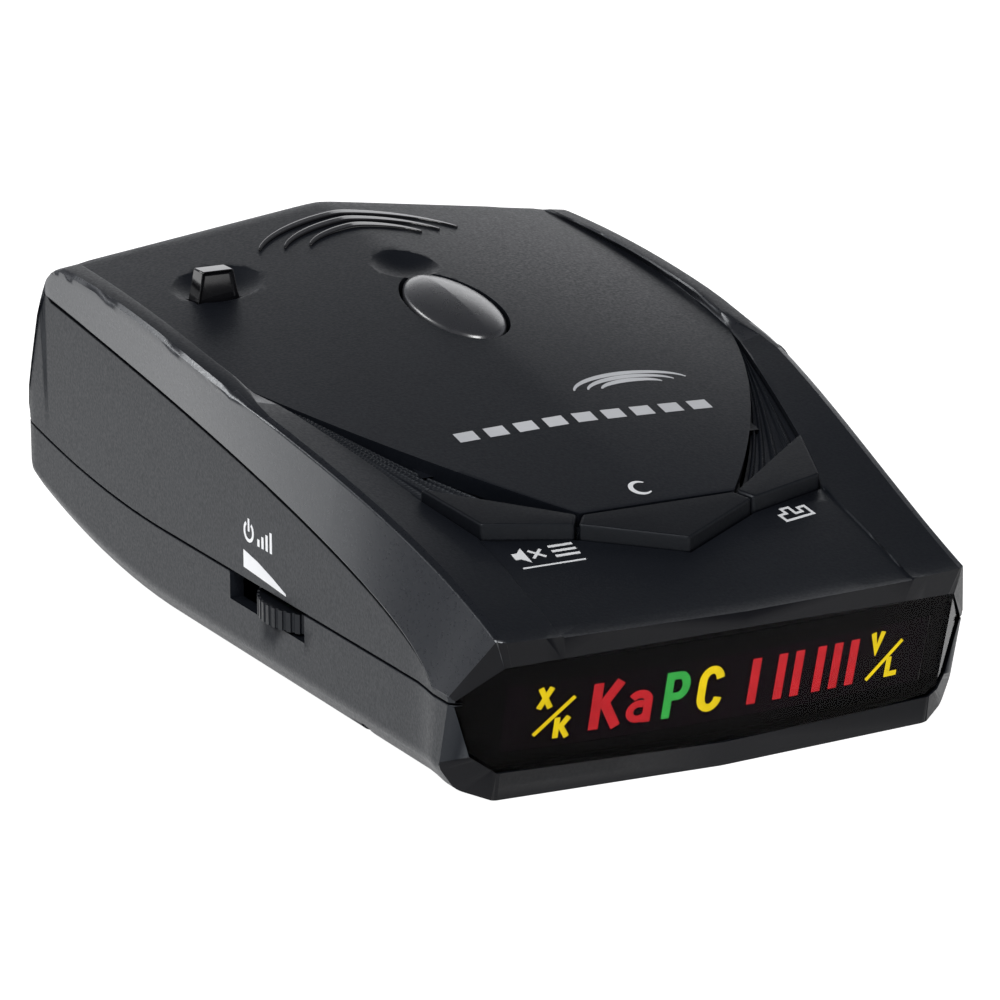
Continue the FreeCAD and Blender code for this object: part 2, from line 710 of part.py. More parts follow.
def build():
    base = outside(base_solid())
    save("top_housing", top_housing(base))
    save("bottom_housing", bottom_housing().fuse(spring_seat()).removeSplitter())
    save("display_window", display_window())
    save("display_filter", display_sheet(2.1, 2.4, 27.6, 5.2, 14.4))
    save("display_light_box", light_box())
    save("display_leds", *display_leds())
    save("display_board", display_sheet(8.6, 10.0, 29.0, 4.0, 16.2))
    for name, outline in button_outlines().items():
        save(name + "_button", button(base, name, outline))
        save(name + "_switch_plunger", switch_plunger(name))
    save("switch_bodies", *switch_bodies())
    save("volume_wheel", volume_wheel())
    save("volume_control", volume_control())
    save("power_jack", power_jack())
    save("release_tab", release_tab())
    save("release_latch", release_latch())
    save("release_spring", release_spring())
    save("bracket_guides", *bracket_guides())
    save("horn_antenna", horn_antenna())
    save("antenna_lid", antenna_lid())
    lid_top = BLOCK_Z[1] + 1.2
    save("antenna_screws", *[pan_screw(x, y, lid_top, 5.0, 0.9, 1.8) for x, y in LID_SCREWS])
    save("rf_board", rf_board())
    save("rf_board_spacers", *board_spacers())
    save("rear_laser_lens", laser_lens())
    save("rear_laser_sensor", box((-3.5, 3.5), (67.0, 74.0), (BLOCK_Z[1] + 3.8, 32.0)))
    save("front_laser_lens", end_lens())
    save("front_laser_sensor", box((-4.0, 4.0), (105.0, 111.0), (31.0, 36.0)))
    save("main_board", main_board())
    save("board_screws", *[pan_screw(x, y, BOARD_Z + BOARD_THICK, 6.0, 1.0, 2.0) for x, y in BOARD_HOLES])
    save("speaker_gasket", tube(*SPEAKER, (WALL + 0.05, 2.7), SPEAKER_RADIUS, 12.2))
    save("speaker_frame", speaker_frame())
    save("speaker_cone", speaker_cone())
    save("speaker_magnet", rod(*SPEAKER, (7.5, 11.2), 7.2))
    board_top = BOARD_Z + BOARD_THICK
    save("microcontroller", box((-6, 6), (34, 46), (board_top, board_top + 1.4)))
    save("audio_amplifier", box((2, 7), (52, 56), (board_top, board_top + 1.5)))
    save("clock_crystal", box((-12, -8.5), (34, 44), (board_top, board_top + 3.0)))
    save("capacitors", *capacitors())
    save("display_header", *header_pins())
    heads = [pan_screw(x, y, 0.0, 15.0, 1.25, 2.4) for x, y in CASE_SCREWS]
    for screw, (x, y) in zip(heads, CASE_SCREWS):
        screw.rotate(vec(x, y, 0), vec(1, 0, 0), 180)
        screw.translate(vec(0, 0, 7.0 + belly(y)))
    save("case_screws", *heads)
    save("rating_label", box((-20.5, 20.5), (56.5, 78.5), (0.05, 0.35)))


build()
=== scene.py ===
"""Looks for the radar detector: fine moulded shells, legends, marks and light, built
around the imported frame.  Shapes are worked out in millimetres with Y = 0 at the corners
of the display's top edge, and placed() turns them into metres in the frame."""

import json
import math

import bmesh
import bpy
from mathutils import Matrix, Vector


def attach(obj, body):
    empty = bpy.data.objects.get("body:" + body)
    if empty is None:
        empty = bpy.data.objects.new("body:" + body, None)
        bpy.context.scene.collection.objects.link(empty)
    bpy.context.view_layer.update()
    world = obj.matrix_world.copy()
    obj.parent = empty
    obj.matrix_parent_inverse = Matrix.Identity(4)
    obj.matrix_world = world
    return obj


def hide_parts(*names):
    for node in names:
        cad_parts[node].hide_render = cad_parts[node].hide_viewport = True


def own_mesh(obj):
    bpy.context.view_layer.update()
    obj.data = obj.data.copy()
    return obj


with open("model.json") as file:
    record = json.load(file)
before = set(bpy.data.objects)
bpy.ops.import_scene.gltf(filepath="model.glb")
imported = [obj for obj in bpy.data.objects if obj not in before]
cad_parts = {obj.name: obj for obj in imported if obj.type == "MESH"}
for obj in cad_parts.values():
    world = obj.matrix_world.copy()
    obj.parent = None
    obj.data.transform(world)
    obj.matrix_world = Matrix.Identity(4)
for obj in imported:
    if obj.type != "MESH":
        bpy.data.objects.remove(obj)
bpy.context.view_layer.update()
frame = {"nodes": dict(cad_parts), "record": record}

# ---- sizes of the housing, in millimetres -------------------------------------------
LENGTH = 126.5
WIDTH = 74.8
BOW = 2.0
BOW_RADIUS = 231.0
FACE_TOP = 20.2
FACE_LEAN = 0.26
FACE_HALF = 29.5
FACET_SLOPE = 0.886
SHOULDER_HALF = 33.7
CREASE = 22.8
SPLIT = 12.1
BELLY_START = 80.0
ROUND_START = 108.0
END_Y = LENGTH - BOW
FAR_CORNER = 4.0
ROOF_FALL = 0.135
APEX = (32.9, 59.1)
SHIELD_ARC = (23.2, 37.0)
PAD_BACK_IN = (10.2, 18.65)
PAD_BACK_OUT = (25.9, 29.6)
PAD_FRONT_OUT = (22.6, 19.45)
PAD_FRONT_IN = (11.75, 16.6)
CHEVRON = (0.0, 10.9)
LENS_Y = 70.3
LENS_HALF = (5.3, 10.0)
TAB = (-24.7, 88.0)
NOTCH_Y = (41.9, 61.7)
NOTCH_FLOOR = 8.5
ORIGIN_Y = BOW - LENGTH / 2
MM = 0.001


def placed(x, y, z):
    return Vector((x * MM, (y + ORIGIN_Y) * MM, z * MM))


# ---- the housing's surfaces ---------------------------------------------------------
def clamp(value):
    return max(0.0, min(1.0, value))


def ease(value):
    t = clamp(value)
    return t * t * (3 - 2 * t)


def side_half(y):
    return SHOULDER_HALF + (WIDTH / 2 - SHOULDER_HALF) * clamp((y - 5.4) / 116.0)


def crest_half(y):
    return 30.3 + 6.7 * ease(y / 72.0)


def crest_height(y):
    y = max(0.0, y)
    return FACE_TOP + 0.365 * y - 0.0017 * y * y


def dark_line(y):
    rise = 1.82 * max(0.0, y - 9.5) ** 0.545
    return SPLIT + max(0.9, rise)


def split_height(y):
    return SPLIT + 0.0024 * max(0.0, y - BELLY_START) ** 2


def belly(y):
    return 0.0035 * max(0.0, y - BELLY_START) ** 2


def ridge_height(y):
    return 25.1 + 0.2393 * (y - 11.0) - 0.001069 * (y - 11.0) * (y - 69.5)


def panel_height(x, y):
    steep = max(0.0, (y - 15.0) / 93.0)
    return min(ridge_height(y) - steep * (0.1 * abs(x) + 0.0015 * x * x), end_top(x, y))


def deck_height(x, y):
    inward = crest_half(y) - max(abs(x), CREASE)
    return crest_height(y) - 0.12 * clamp(y / 25.0) * inward


def rail_inner(y):
    return 33.1 + 2.0 * math.sin(math.pi * clamp((y - 60.0) / 56.0))


def end_top(x, y):
    """Height of the rounded antenna end, which bounds every surface past its start."""
    if y <= ROUND_START:
        return 99.0
    top = ridge_height(ROUND_START) + 0.15
    lip, shoulder = (ROUND_START, top), (END_Y - 6.9, top - 8.15)
    waist = (END_Y, 17.0)
    if y >= shoulder[0]:
        share = (y - shoulder[0]) / (waist[0] - shoulder[0])
        return shoulder[1] + (waist[1] - shoulder[1]) * share - ROOF_FALL * abs(x)
    share = (y - lip[0]) / (shoulder[0] - lip[0])
    return lip[1] - (lip[1] - shoulder[1]) * (0.06 * share + 0.94 * share ** 2.4) - ROOF_FALL * abs(x)


def end_low(y):
    """Lowest height of the antenna end, where it turns up from the underside."""
    corners = ((END_Y - 8.0, 2.9), (END_Y - 1.4, 8.8), (END_Y, 16.9))
    if y <= corners[0][0]:
        return 0.0
    for near, far in zip(corners, corners[1:]):
        if y <= far[0]:
            return near[1] + (far[1] - near[1]) * (y - near[0]) / (far[0] - near[0])
    return corners[-1][1]


def corner_share(y):
    """How much the two rounded far corners narrow the plan."""
    start = END_Y - FAR_CORNER
    if y <= start:
        return 1.0
    inset = FAR_CORNER - math.sqrt(max(0.0, FAR_CORNER ** 2 - (y - start) ** 2))
    return 1.0 - inset / (WIDTH / 2)


def face_y(x, z):
    """The bowed and leaning display face, with its corner facets."""
    half = abs(x)
    inner = min(half, FACE_HALF)
    bow = BOW_RADIUS - math.sqrt(BOW_RADIUS ** 2 - inner ** 2) - BOW
    return bow + max(0.0, half - FACE_HALF) * FACET_SLOPE + (FACE_TOP - z) * FACE_LEAN


# ---- mesh helpers -------------------------------------------------------------------
def mesh_object(name, points, faces):
    mesh = bpy.data.meshes.new(name)
    mesh.from_pydata([placed(*p) for p in points], [], faces)
    piece = bpy.data.objects.new(name, mesh)
    bpy.context.scene.collection.objects.link(piece)
    weld(piece)
    return piece


def weld(piece, distance=0.00001):
    work = bmesh.new()
    work.from_mesh(piece.data)
    bmesh.ops.remove_doubles(work, verts=work.verts, dist=distance)
    bmesh.ops.dissolve_degenerate(work, edges=work.edges, dist=distance)
    loose = [edge for edge in work.edges if not edge.link_faces]
    bmesh.ops.delete(work, geom=loose, context="EDGES")
    bmesh.ops.recalc_face_normals(work, faces=work.faces)
    work.to_mesh(piece.data)
    work.free()


def grid_faces(rows, columns, start=0, closed=False):
    faces = []
    for row in range(rows - 1):
        for column in range(columns if closed else columns - 1):
            a = start + row * columns + column
            b = start + row * columns + (column + 1) % columns
            faces.append((a, b, b + columns, a + columns))
    return faces


def grid_object(name, rows):
    points = [point for row in rows for point in row]
    return mesh_object(name, points, grid_faces(len(rows), len(rows[0])))


def prism_object(name, outline, low, high):
    """An upright prism over (x, y) points."""
    count = len(outline)
    points = [(x, y, low) for x, y in outline] + [(x, y, high) for x, y in outline]
    faces = [tuple(range(count)), tuple(range(count, 2 * count))]
    faces += [(k, (k + 1) % count, (k + 1) % count + count, k + count) for k in range(count)]
    return mesh_object(name, points, faces)


def block(name, x, y, z):
    return prism_object(name, [(x[0], y[0]), (x[1], y[0]), (x[1], y[1]), (x[0], y[1])], *z)


def modifier(piece, kind, **settings):
    made = piece.modifiers.new(kind.lower(), kind)
    for key, value in settings.items():
        setattr(made, key, value)
    return made


def apply_modifiers(piece):
    graph = bpy.context.evaluated_depsgraph_get()
    mesh = bpy.data.meshes.new_from_object(piece.evaluated_get(graph))
    piece.modifiers.clear()
    piece.data = mesh


def cut(piece, cutters):
    """Takes the cutters out of a piece, then removes them."""
    for cutter in cutters:
        modifier(piece, "BOOLEAN", operation="DIFFERENCE", object=cutter, solver="EXACT")
        apply_modifiers(piece)
        bpy.data.objects.remove(cutter)


def thicken(piece, depth):
    ensure_outward(piece)
    modifier(piece, "SOLIDIFY", thickness=depth * MM, offset=-1.0, use_even_offset=False)
    apply_modifiers(piece)
    weld(piece)


def smooth(piece):
    for face in piece.data.polygons:
        face.use_smooth = True


def soften(piece, width, angle=32.0, segments=3):
    """Rounds the sharp edges of a piece and evens its shading."""
    modifier(piece, "BEVEL", width=width * MM, segments=segments, limit_method="ANGLE",
             angle_limit=math.radians(angle), harden_normals=False, use_clamp_overlap=True)
    apply_modifiers(piece)
    smooth(piece)
    modifier(piece, "WEIGHTED_NORMAL", keep_sharp=False, weight=60)
    apply_modifiers(piece)


def rounded(corners, radii, steps):
    """A polyline whose corners are replaced by arcs of the given radii."""
    line = [corners[0]]
    for before, here, after, radius in zip(corners, corners[1:], corners[2:], radii):
        if radius <= 0:
            line.append(here)
            continue
        to_before = (Vector(before) - Vector(here)).normalized()
        to_after = (Vector(after) - Vector(here)).normalized()
        turn = math.acos(max(-1.0, min(1.0, to_before.dot(to_after))))
        if turn > 3.1:
            line += [here] * (steps + 1)
            continue
        reach = min(radius / math.tan(turn / 2), 0.45 * (Vector(before) - Vector(here)).length,
                    0.45 * (Vector(after) - Vector(here)).length)
        start = Vector(here) + to_before * reach
        finish = Vector(here) + to_after * reach
        for step in range(steps + 1):
            t = step / steps
            bend = start * (1 - t) ** 2 + Vector(here) * 2 * t * (1 - t) + finish * t * t
            line.append(tuple(bend))
    line.append(corners[-1])
    return line


def mirrored(half):
    """The whole section from its x >= 0 half, running from -x to +x."""
    return [(-x, z) for x, z in reversed(half) if x > 1e-9] + half


# ---- shells -------------------------------------------------------------------------
MAIN_ROWS = [12.0, 14.0, 16.5, 19.0, 22.0, 26.0, 30.0] + [34.0 + 4 * k for k in range(18)]
FAR_ROWS = [104.5, 106.5, 108.0, 109.2, 110.5, 112.0, 113.5, 115.0, 116.3, 117.5, 118.8,
            120.0, 121.2, 122.2, 123.0, 123.6, 124.1, 124.4]
NEAR_SHARES = (0.0, 0.08, 0.2, 0.38, 0.58, 0.79)
SEAM = 0.14               # half the gap at the parting line
STEP = 0.18               # the middle of the front deck is this much lower than its sides
LIP = 1.3                 # how far the shells' edges turn in behind the parting line


def recess(y):
    """How far the side panels stand back from the rails and the front posts."""
    return 0.01 + 0.6 * clamp((y - 9.3) / 4.0)


def top_section(y):
    """Deck, rail, bevel facet, groove and side panel at one station, from the middle out."""
    behind = ease((y - 50.0) / 12.0)
    crest, dark = crest_half(y), dark_line(y)
    above = clamp((end_top(side_half(y), y) - dark) / 1.5)
    panel = side_half(y) - recess(y)
    side = panel + recess(y) * above
    slot = 0.85 * clamp((y - 9.3) / 4.0) * above
    inner = crest - 4.5 + behind * (rail_inner(y) - crest + 4.5)
    inner_z = deck_height(inner, y) * (1 - behind) + (panel_height(inner, y) - 0.15) * behind
    middle = deck_height(CREASE, y) * (1 - behind) + (inner_z - 1.2) * behind
    flat = 2.2 * behind
    low = split_height(y) + SEAM
    corners = [(0.0, middle - STEP), (CREASE - STEP, middle - STEP), (CREASE, middle), (inner, inner_z),
               (crest - 0.9 - flat, crest_height(y)), (crest, crest_height(y) - 0.15), (side, dark),
               (panel - slot, dark - 0.06), (panel - slot, dark - 0.06 - slot), (panel, dark - 0.12 - slot),
               (panel, low), (panel - LIP, low)]
    radii = (0.0, 0.0, 1.0 * behind + 0.3, 1.2 * behind + 0.2, 0.45 + 2.0 * behind,
             0.15, 0.05, 0.05, 0.12, 0.12)
    half = rounded(corners, radii, 3)
    return [trimmed(x, y, z) for x, z in mirrored(half)]


def trimmed(x, y, z):
    """Bounds a point of the top by the rounded antenna end, its corners and the parting line."""
    while y > ROUND_START and end_top(x, y) < split_height(y) + SEAM:
        y -= 0.02
    hidden = 1.0 if abs(x) < rail_inner(y) - 0.6 else 0.0
    return (x * corner_share(y), y, max(split_height(y) + SEAM, min(z, end_top(x, y) - hidden)))


def tray_section(y):
    """Side wall, chine and underside at one station, from the middle of the underside out."""
    side = side_half(y) - recess(y)
    rise = belly(y)
    high = split_height(y) - SEAM
    corners = [(0.0, rise), (28.4, rise), (side - 1.6, 1.3 + rise), (side, 3.9 + rise), (side, high),
               (side - LIP, high)]
    half = rounded(corners, (2.5, 2.0, 2.5, 0.12), 5)
    section = []
    for x, z in mirrored(half):
        ceiling = min(high, end_top(x, y) - SEAM)
        section.append((x * corner_share(y), y, min(max(z, end_low(y) - ROOF_FALL * abs(x)), ceiling)))
    return section


def skin_rows(section):
    """Rows of a shell from the display face to the antenna end."""
    starts = []
    for column in range(len(section(20.0))):
        y = 2.0
        for _ in range(12):
            x, _, z = section(y)[column]
            y = face_y(x, z)
        starts.append(y)
    rows = []
    for share in NEAR_SHARES:
        row = []
        for column, start in enumerate(starts):
            y = start + (MAIN_ROWS[0] - start) * share
            row.append(section(y)[column])
        rows.append(row)
    rows += [section(y) for y in MAIN_ROWS + FAR_ROWS]
    rows.append([(x * 0.985, y - LIP, z) for x, y, z in rows[-1]])
    return rows


WINDOW_TOP = [(33.1, SPLIT), (33.1, 12.9), (29.2, 17.0)]
WINDOW_LOW = [(33.1, SPLIT), (33.1, 6.9), (28.4, 3.5)]
WINDOW_CROWN = {1: 0.9, -1: -0.4}


def window_point(x, side):
    """A point on the window's outline above (side 1) or below (side -1) the parting line."""
    outline = WINDOW_TOP if side > 0 else WINDOW_LOW
    edge = outline[2]
    return (x, edge[1] + WINDOW_CROWN[side] * (1 - (min(abs(x), edge[0]) / edge[0]) ** 2))


def frame_point(x, z, side):
    """Where a point of a shell's front edge lands on the window's outline."""
    outline = WINDOW_TOP if side > 0 else WINDOW_LOW
    (edge_x, edge_z), (outer_x, outer_z) = outline[2], outline[1]
    level = FACE_TOP if side > 0 else 0.0
    corner = 30.2 if side > 0 else 28.4
    if abs(x) <= corner and abs(z - level) < 3.0:
        return window_point(x * edge_x / corner, side)
    drop = clamp(abs(z - level) / abs(SPLIT - level))
    turn = 0.62
    if drop < turn:
        point = between((edge_x, edge_z), (outer_x, outer_z), drop / turn)
    else:
        point = between((outer_x, outer_z), (outer_x, SPLIT + side * SEAM), (drop - turn) / (1 - turn))
    return (math.copysign(point[0], x), point[1])


def frame_rows(front, side):
    """The bezel between a shell's front edge and the window, and the window's reveal."""
    inner = [frame_point(x, z, side) for x, _, z in front]
    edge_row = [(x, face_y(x, z), z) for x, z in inner]
    deep_row = [(x, face_y(x, z) + 2.4, z) for x, z in inner]
    return [deep_row, edge_row]


SPRING_Z = (23.4, 27.7)   # wire centre at the release spring's fixed end and under the latch
SPRING_WIRE = 0.22        # half the wire's thickness


def spring_coil():
    """The release spring under the latch, as a wire along its helix."""
    turns, steps, coil, sides = 4.5, 24, 1.3, 10
    rows = []
    for step in range(int(turns * steps) + 1):
        angle = 2 * math.pi * step / steps
        rise = SPRING_Z[0] + (SPRING_Z[1] - SPRING_Z[0]) * step / (turns * steps)
        ring = []
        for corner in range(sides):
            around = 2 * math.pi * corner / sides
            reach = coil + SPRING_WIRE * math.cos(around)
            ring.append((TAB[0] + reach * math.cos(angle), TAB[1] + reach * math.sin(angle),
                         rise + SPRING_WIRE * math.sin(around)))
        rows.append(ring)
    count = len(rows)
    faces = grid_faces(count, sides, closed=True)
    faces += [tuple(range(sides)), tuple(range((count - 1) * sides, count * sides))]
    return mesh_object("spring_coil", [point for ring in rows for point in ring], faces)


def add_spring():
    """The release spring under the latch, built on the housing in place of the frame's spring."""
    piece = spring_coil()
    finish_piece(piece, "housing", "bright_steel", STEEL, "release_spring")
    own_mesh(piece)


def end_ledge():
    """The bottom housing's turned-up end, between the parting line and its furthest edge."""
    half = side_half(120.0) - recess(120.0) - 0.03
    rows = []
    for step in range(13):
        row = []
        for column in range(41):
            x = half * (column / 20 - 1)
            near = FAR_ROWS[-1]
            while end_top(x, near) < split_height(near) + SEAM:
                near -= 0.02
            y = near - 0.8 + (FAR_ROWS[-1] - near + 0.8) * step / 12
            row.append((x * corner_share(y), y, min(end_top(x, y), split_height(y)) - SEAM))
        rows.append(row)
    return grid_object("end_ledge", rows)


def shell(name, section, side):
    rows = skin_rows(section)
    rows = frame_rows(rows[0], side) + rows
    piece = grid_object(name, rows)
    ensure_outward(piece)
    return piece


def slice_faces(work, applies, place, normal):
    """Splits the faces that a test applies to along a plane."""
    near = [face for face in work.faces if applies(face.calc_center_median())]
    geometry = set(near) | {e for f in near for e in f.edges} | {v for f in near for v in f.verts}
    bmesh.ops.bisect_plane(work, geom=list(geometry), plane_co=place, plane_no=normal, dist=1e-7)


def turn_in(work, rims, move):
    """Extrudes rim edges and moves the new rim, given in millimetres."""
    walls = bmesh.ops.extrude_edge_only(work, edges=rims)["geom"]
    for vert in [item for item in walls if isinstance(item, bmesh.types.BMVert)]:
        vert.co += Vector(move) * MM


def open_pockets(piece, outlines, applies, depth):
    """Cuts convex plan outlines out of a skin and turns their edges down into walls."""
    work = bmesh.new()
    work.from_mesh(piece.data)
    for outline in outlines:
        corners = [placed(x, y, 0.0) for x, y in outline]
        for a, b in zip(corners, corners[1:] + corners[:1]):
            slice_faces(work, applies, a, (b - a).cross(Vector((0.0, 0.0, 1.0))))
    gone = [face for face in work.faces if applies(face.calc_center_median())
            and any(holds(outline, face.calc_center_median()) for outline in outlines)]
    bmesh.ops.delete(work, geom=gone, context="FACES")
    rims = [edge for edge in work.edges
            if edge.is_boundary and applies((edge.verts[0].co + edge.verts[1].co) / 2)]
    turn_in(work, rims, (0.0, 0.0, -depth))
    work.to_mesh(piece.data)
    work.free()


def holds(outline, place):
    """Whether a place lies inside a convex plan outline."""
    corners = [placed(x, y, 0.0) for x, y in outline]
    turns = [(b - a).cross(place - a).z for a, b in zip(corners, corners[1:] + corners[:1])]
    return all(t > 0 for t in turns) or all(t < 0 for t in turns)


def ensure_outward(piece):
    """Turns the faces of an open skin away from the middle of the housing."""
    middle = placed(0.0, 62.0, 20.0)
    outward = sum(face.area * face.normal.dot(face.center - middle) for face in piece.data.polygons)
    if outward < 0:
        piece.data.flip_normals()


def skirt(piece, depth):
    """Turns the rim of an open skin straight down."""
    work = bmesh.new()
    work.from_mesh(piece.data)
    rims = [edge for edge in work.edges if edge.is_boundary]
    turn_in(work, rims, (0.0, 0.0, -depth))
    work.to_mesh(piece.data)
    work.free()


# ---- plan outlines ------------------------------------------------------------------
def between(start, end, share):
    return (start[0] + (end[0] - start[0]) * share, start[1] + (end[1] - start[1]) * share)


def arc_points(first, middle, last, count):
    """Points along the arc through three plan points."""
    (ax, ay), (bx, by), (cx, cy) = first, middle, last
    d = 2 * (ax * (by - cy) + bx * (cy - ay) + cx * (ay - by))
    sa, sb, sc = ax * ax + ay * ay, bx * bx + by * by, cx * cx + cy * cy
    ux = (sa * (by - cy) + sb * (cy - ay) + sc * (ay - by)) / d
    uy = (sa * (cx - bx) + sb * (ax - cx) + sc * (bx - ax)) / d
    start = math.atan2(ay - uy, ax - ux)
    sweep = math.remainder(math.atan2(cy - uy, cx - ux) - start, 2 * math.pi)
    radius = math.hypot(ax - ux, ay - uy)
    angles = [start + sweep * k / count for k in range(count + 1)]
    return [(ux + radius * math.cos(angle), uy + radius * math.sin(angle)) for angle in angles]


def rib_arc(share, count):
    """One arc from the apex to the side button's back edge; share 0 is the shield's own."""
    middle = between(SHIELD_ARC, between(APEX, PAD_BACK_OUT, 0.5), 0.97 * share)
    return arc_points(APEX, middle, between(PAD_BACK_IN, PAD_BACK_OUT, share), count)


def other_side(outline, side):
    return [(side * x, y) for x, y in outline]


def inset(outline, gap):
    """A convex outline with every edge moved inwards by a gap."""
    count = len(outline)
    centre = Vector((sum(p[0] for p in outline) / count, sum(p[1] for p in outline) / count))
    lines = []
    for k in range(count):
        a, b = Vector(outline[k]), Vector(outline[(k + 1) % count])
        along = (b - a).normalized()
        normal = Vector((-along.y, along.x))
        if normal.dot(centre - a) < 0:
            normal = -normal
        lines.append((a + normal * gap, along))
    points = []
    for k in range(count):
        (p, u), (q, v) = lines[k - 1], lines[k]
        t = ((q.x - p.x) * v.y - (q.y - p.y) * v.x) / (u.x * v.y - u.y * v.x)
        points.append((p.x + u.x * t, p.y + u.y * t))
    return points


SIDE_BUTTON = [PAD_FRONT_IN, PAD_FRONT_OUT, PAD_BACK_OUT, PAD_BACK_IN]
MIDDLE_BUTTON = [CHEVRON, PAD_FRONT_IN, PAD_BACK_IN, (-PAD_BACK_IN[0], PAD_BACK_IN[1]),
                 (-PAD_FRONT_IN[0], PAD_FRONT_IN[1])]
BUTTONS = {"quiet": other_side(SIDE_BUTTON, -1), "dark": MIDDLE_BUTTON, "city": SIDE_BUTTON}


def oval(centre, half, count=64):
    return [(centre[0] + half[0] * math.cos(2 * math.pi * k / count),
             centre[1] + half[1] * math.sin(2 * math.pi * k / count)) for k in range(count)]


def ball(name, centre, radius, rings=32, count=64):
    """A finely divided ball used to cut the dishes."""
    rows = []
    for ring in range(rings + 1):
        tilt = math.pi * ring / rings
        rows.append([(centre[0] + radius[0] * math.sin(tilt) * math.cos(2 * math.pi * k / count),
                      centre[1] + radius[1] * math.sin(tilt) * math.sin(2 * math.pi * k / count),
                      centre[2] + radius[2] * math.cos(tilt)) for k in range(count)])
    points = [point for row in rows for point in row]
    return mesh_object(name, points, grid_faces(rings + 1, count, closed=True))


# ---- the visible shells -------------------------------------------------------------
def on_deck(place):
    return place.z > 0.019 and place.y < (33.0 + ORIGIN_Y) * MM and abs(place.x) < 0.0285


def in_left_wall(place):
    return place.x < -0.03 and place.z > 0.004 and abs(place.y - (52.0 + ORIGIN_Y) * MM) < 0.02


def top_shell():
    piece = shell("top_shell", top_section, 1)
    open_pockets(piece, [inset(outline, -0.1) for outline in BUTTONS.values()], on_deck, 2.4)
    for side in (1, -1):
        sliver = other_side([APEX, PAD_BACK_OUT, between(PAD_BACK_IN, PAD_BACK_OUT, 0.1)], side)
        open_pockets(piece, [sliver], beside_shield(side), 2.4)
    soften(piece, 0.28)
    return piece


def beside_shield(side):
    """A test for places on the top beside the shield's arc on one side."""
    return lambda place: place.z > 0.024 and 0.009 < side * place.x < 0.0345 and place.y < 0.0


SPEAKER = (8.0, 38.0)
SPEAKER_PITCH = 3.2
SPEAKER_REACH = 11.0
CASE_SCREWS = ((-30.2, 29.0), (30.2, 29.0), (-24.6, 107.0), (24.6, 107.0))


def bottom_shell():
    piece = shell("bottom_shell", tray_section, -1)
    open_notch(piece)
    underside = []
    for offset in [(row - 3) * SPEAKER_PITCH for row in range(7)]:
        reach = math.sqrt(SPEAKER_REACH ** 2 - offset ** 2)
        underside.append(rounded_slot(SPEAKER[0] + offset, SPEAKER[1], reach, 0.7))
    for place in CASE_SCREWS:
        underside.append(oval(place, (2.6, 2.6), 20))
    for outline in underside:
        open_pockets(piece, [outline], around(outline), -3.0)
    soften(piece, 0.28)
    return piece


def around(outline):
    """A test for places on the underside close to an outline."""
    xs, ys = [p[0] for p in outline], [p[1] for p in outline]
    low, high = placed(min(xs) - 0.4, min(ys) - 0.4, 0.0), placed(max(xs) + 0.4, max(ys) + 0.4, 0.0)
    return lambda place: low.x < place.x < high.x and low.y < place.y < high.y and place.z < 0.0055


def open_notch(piece):
    """Opens the thumbwheel's notch in the left wall, with short inner walls."""
    work = bmesh.new()
    work.from_mesh(piece.data)
    for y, z, normal in ((NOTCH_Y[0], 0, (0, 1, 0)), (NOTCH_Y[1], 0, (0, 1, 0)), (0, NOTCH_FLOOR, (0, 0, 1))):
        slice_faces(work, in_left_wall, placed(0, y, z), normal)
    low, high = placed(-40.0, NOTCH_Y[0], NOTCH_FLOOR), placed(-30.0, NOTCH_Y[1], 20.0)
    gone = [face for face in work.faces
            if all(low[k] < face.calc_center_median()[k] < high[k] for k in range(3))]
    bmesh.ops.delete(work, geom=gone, context="FACES")
    slack = 1e-5
    rims = []
    for edge in work.edges:
        middle = (edge.verts[0].co + edge.verts[1].co) / 2
        if (edge.is_boundary and low.x < middle.x < high.x and middle.z > low.z - slack
                and low.y - slack < middle.y < high.y + slack):
            rims.append(edge)
    turn_in(work, rims, (1.8, 0.0, 0.0))
    work.to_mesh(piece.data)
    work.free()


def rounded_slot(x, y, reach, half):
    points = []
    for end in (1, -1):
        for step in range(9):
            angle = math.pi * step / 8
            points.append((x + end * half * math.cos(angle),
                           y + end * (reach - half + half * math.sin(angle))))
    return points


def shield_half(y):
    """Half width of the raised top panel."""
    if y >= APEX[1]:
        return rail_inner(y) - 0.02
    arc = rib_arc(0.0, 120)
    for (ax, ay), (bx, by) in zip(arc, arc[1:]):
        if by <= y <= ay:
            return bx + (ax - bx) * (y - by) / max(1e-9, ay - by)
    return arc[-1][0]


def shield_panel():
    near = [PAD_BACK_IN[1] + 0.03 + 0.6 * k for k in range(68)]
    stations = near + [60.5 + 2.0 * k for k in range(22)] + FAR_ROWS
    shares = [k / 24 for k in range(-24, 25)]
    rows = []
    for y in stations:
        half = shield_half(y) * corner_share(y)
        rows.append([(half * s, y, crowned(half * s, y)) for s in shares])
    piece = grid_object("shield_panel", rows)
    thicken(piece, 2.2)
    x, y = TAB
    flank = [(x - 3.1, y - 1.9), (x + 3.1, y - 1.9), (x + 3.1, y + 1.9), (x - 3.1, y + 1.9)]
    lens_hole = oval((0.0, LENS_Y), (LENS_HALF[0] + 0.45, LENS_HALF[1] + 0.45))
    cutters = [prism_object("cut_lens", lens_hole, 30.0, 50.0),
               ball("cut_tab_dish", (x, y + 1.5, 52.4), (14.0, 14.0, 14.0)),
               ball("cut_lens_dish", (0.0, LENS_Y + 12.6, 49.6), (9.5, 10.0, 9.5)),
               prism_object("cut_tab_slot", flank, 30.0, 50.0),
               block("cut_end_window", (-12.1, 12.1), (114.0, 130.0), (31.9, 36.1))]
    for side in (1, -1):
        edges = sorted((side * 28.4, side * 32.9))
        cutters.append(block("cut_bracket", edges, (110.0, 130.0), (30.5, 33.6)))
    cut(piece, cutters)
    soften(piece, 0.3)
    return piece


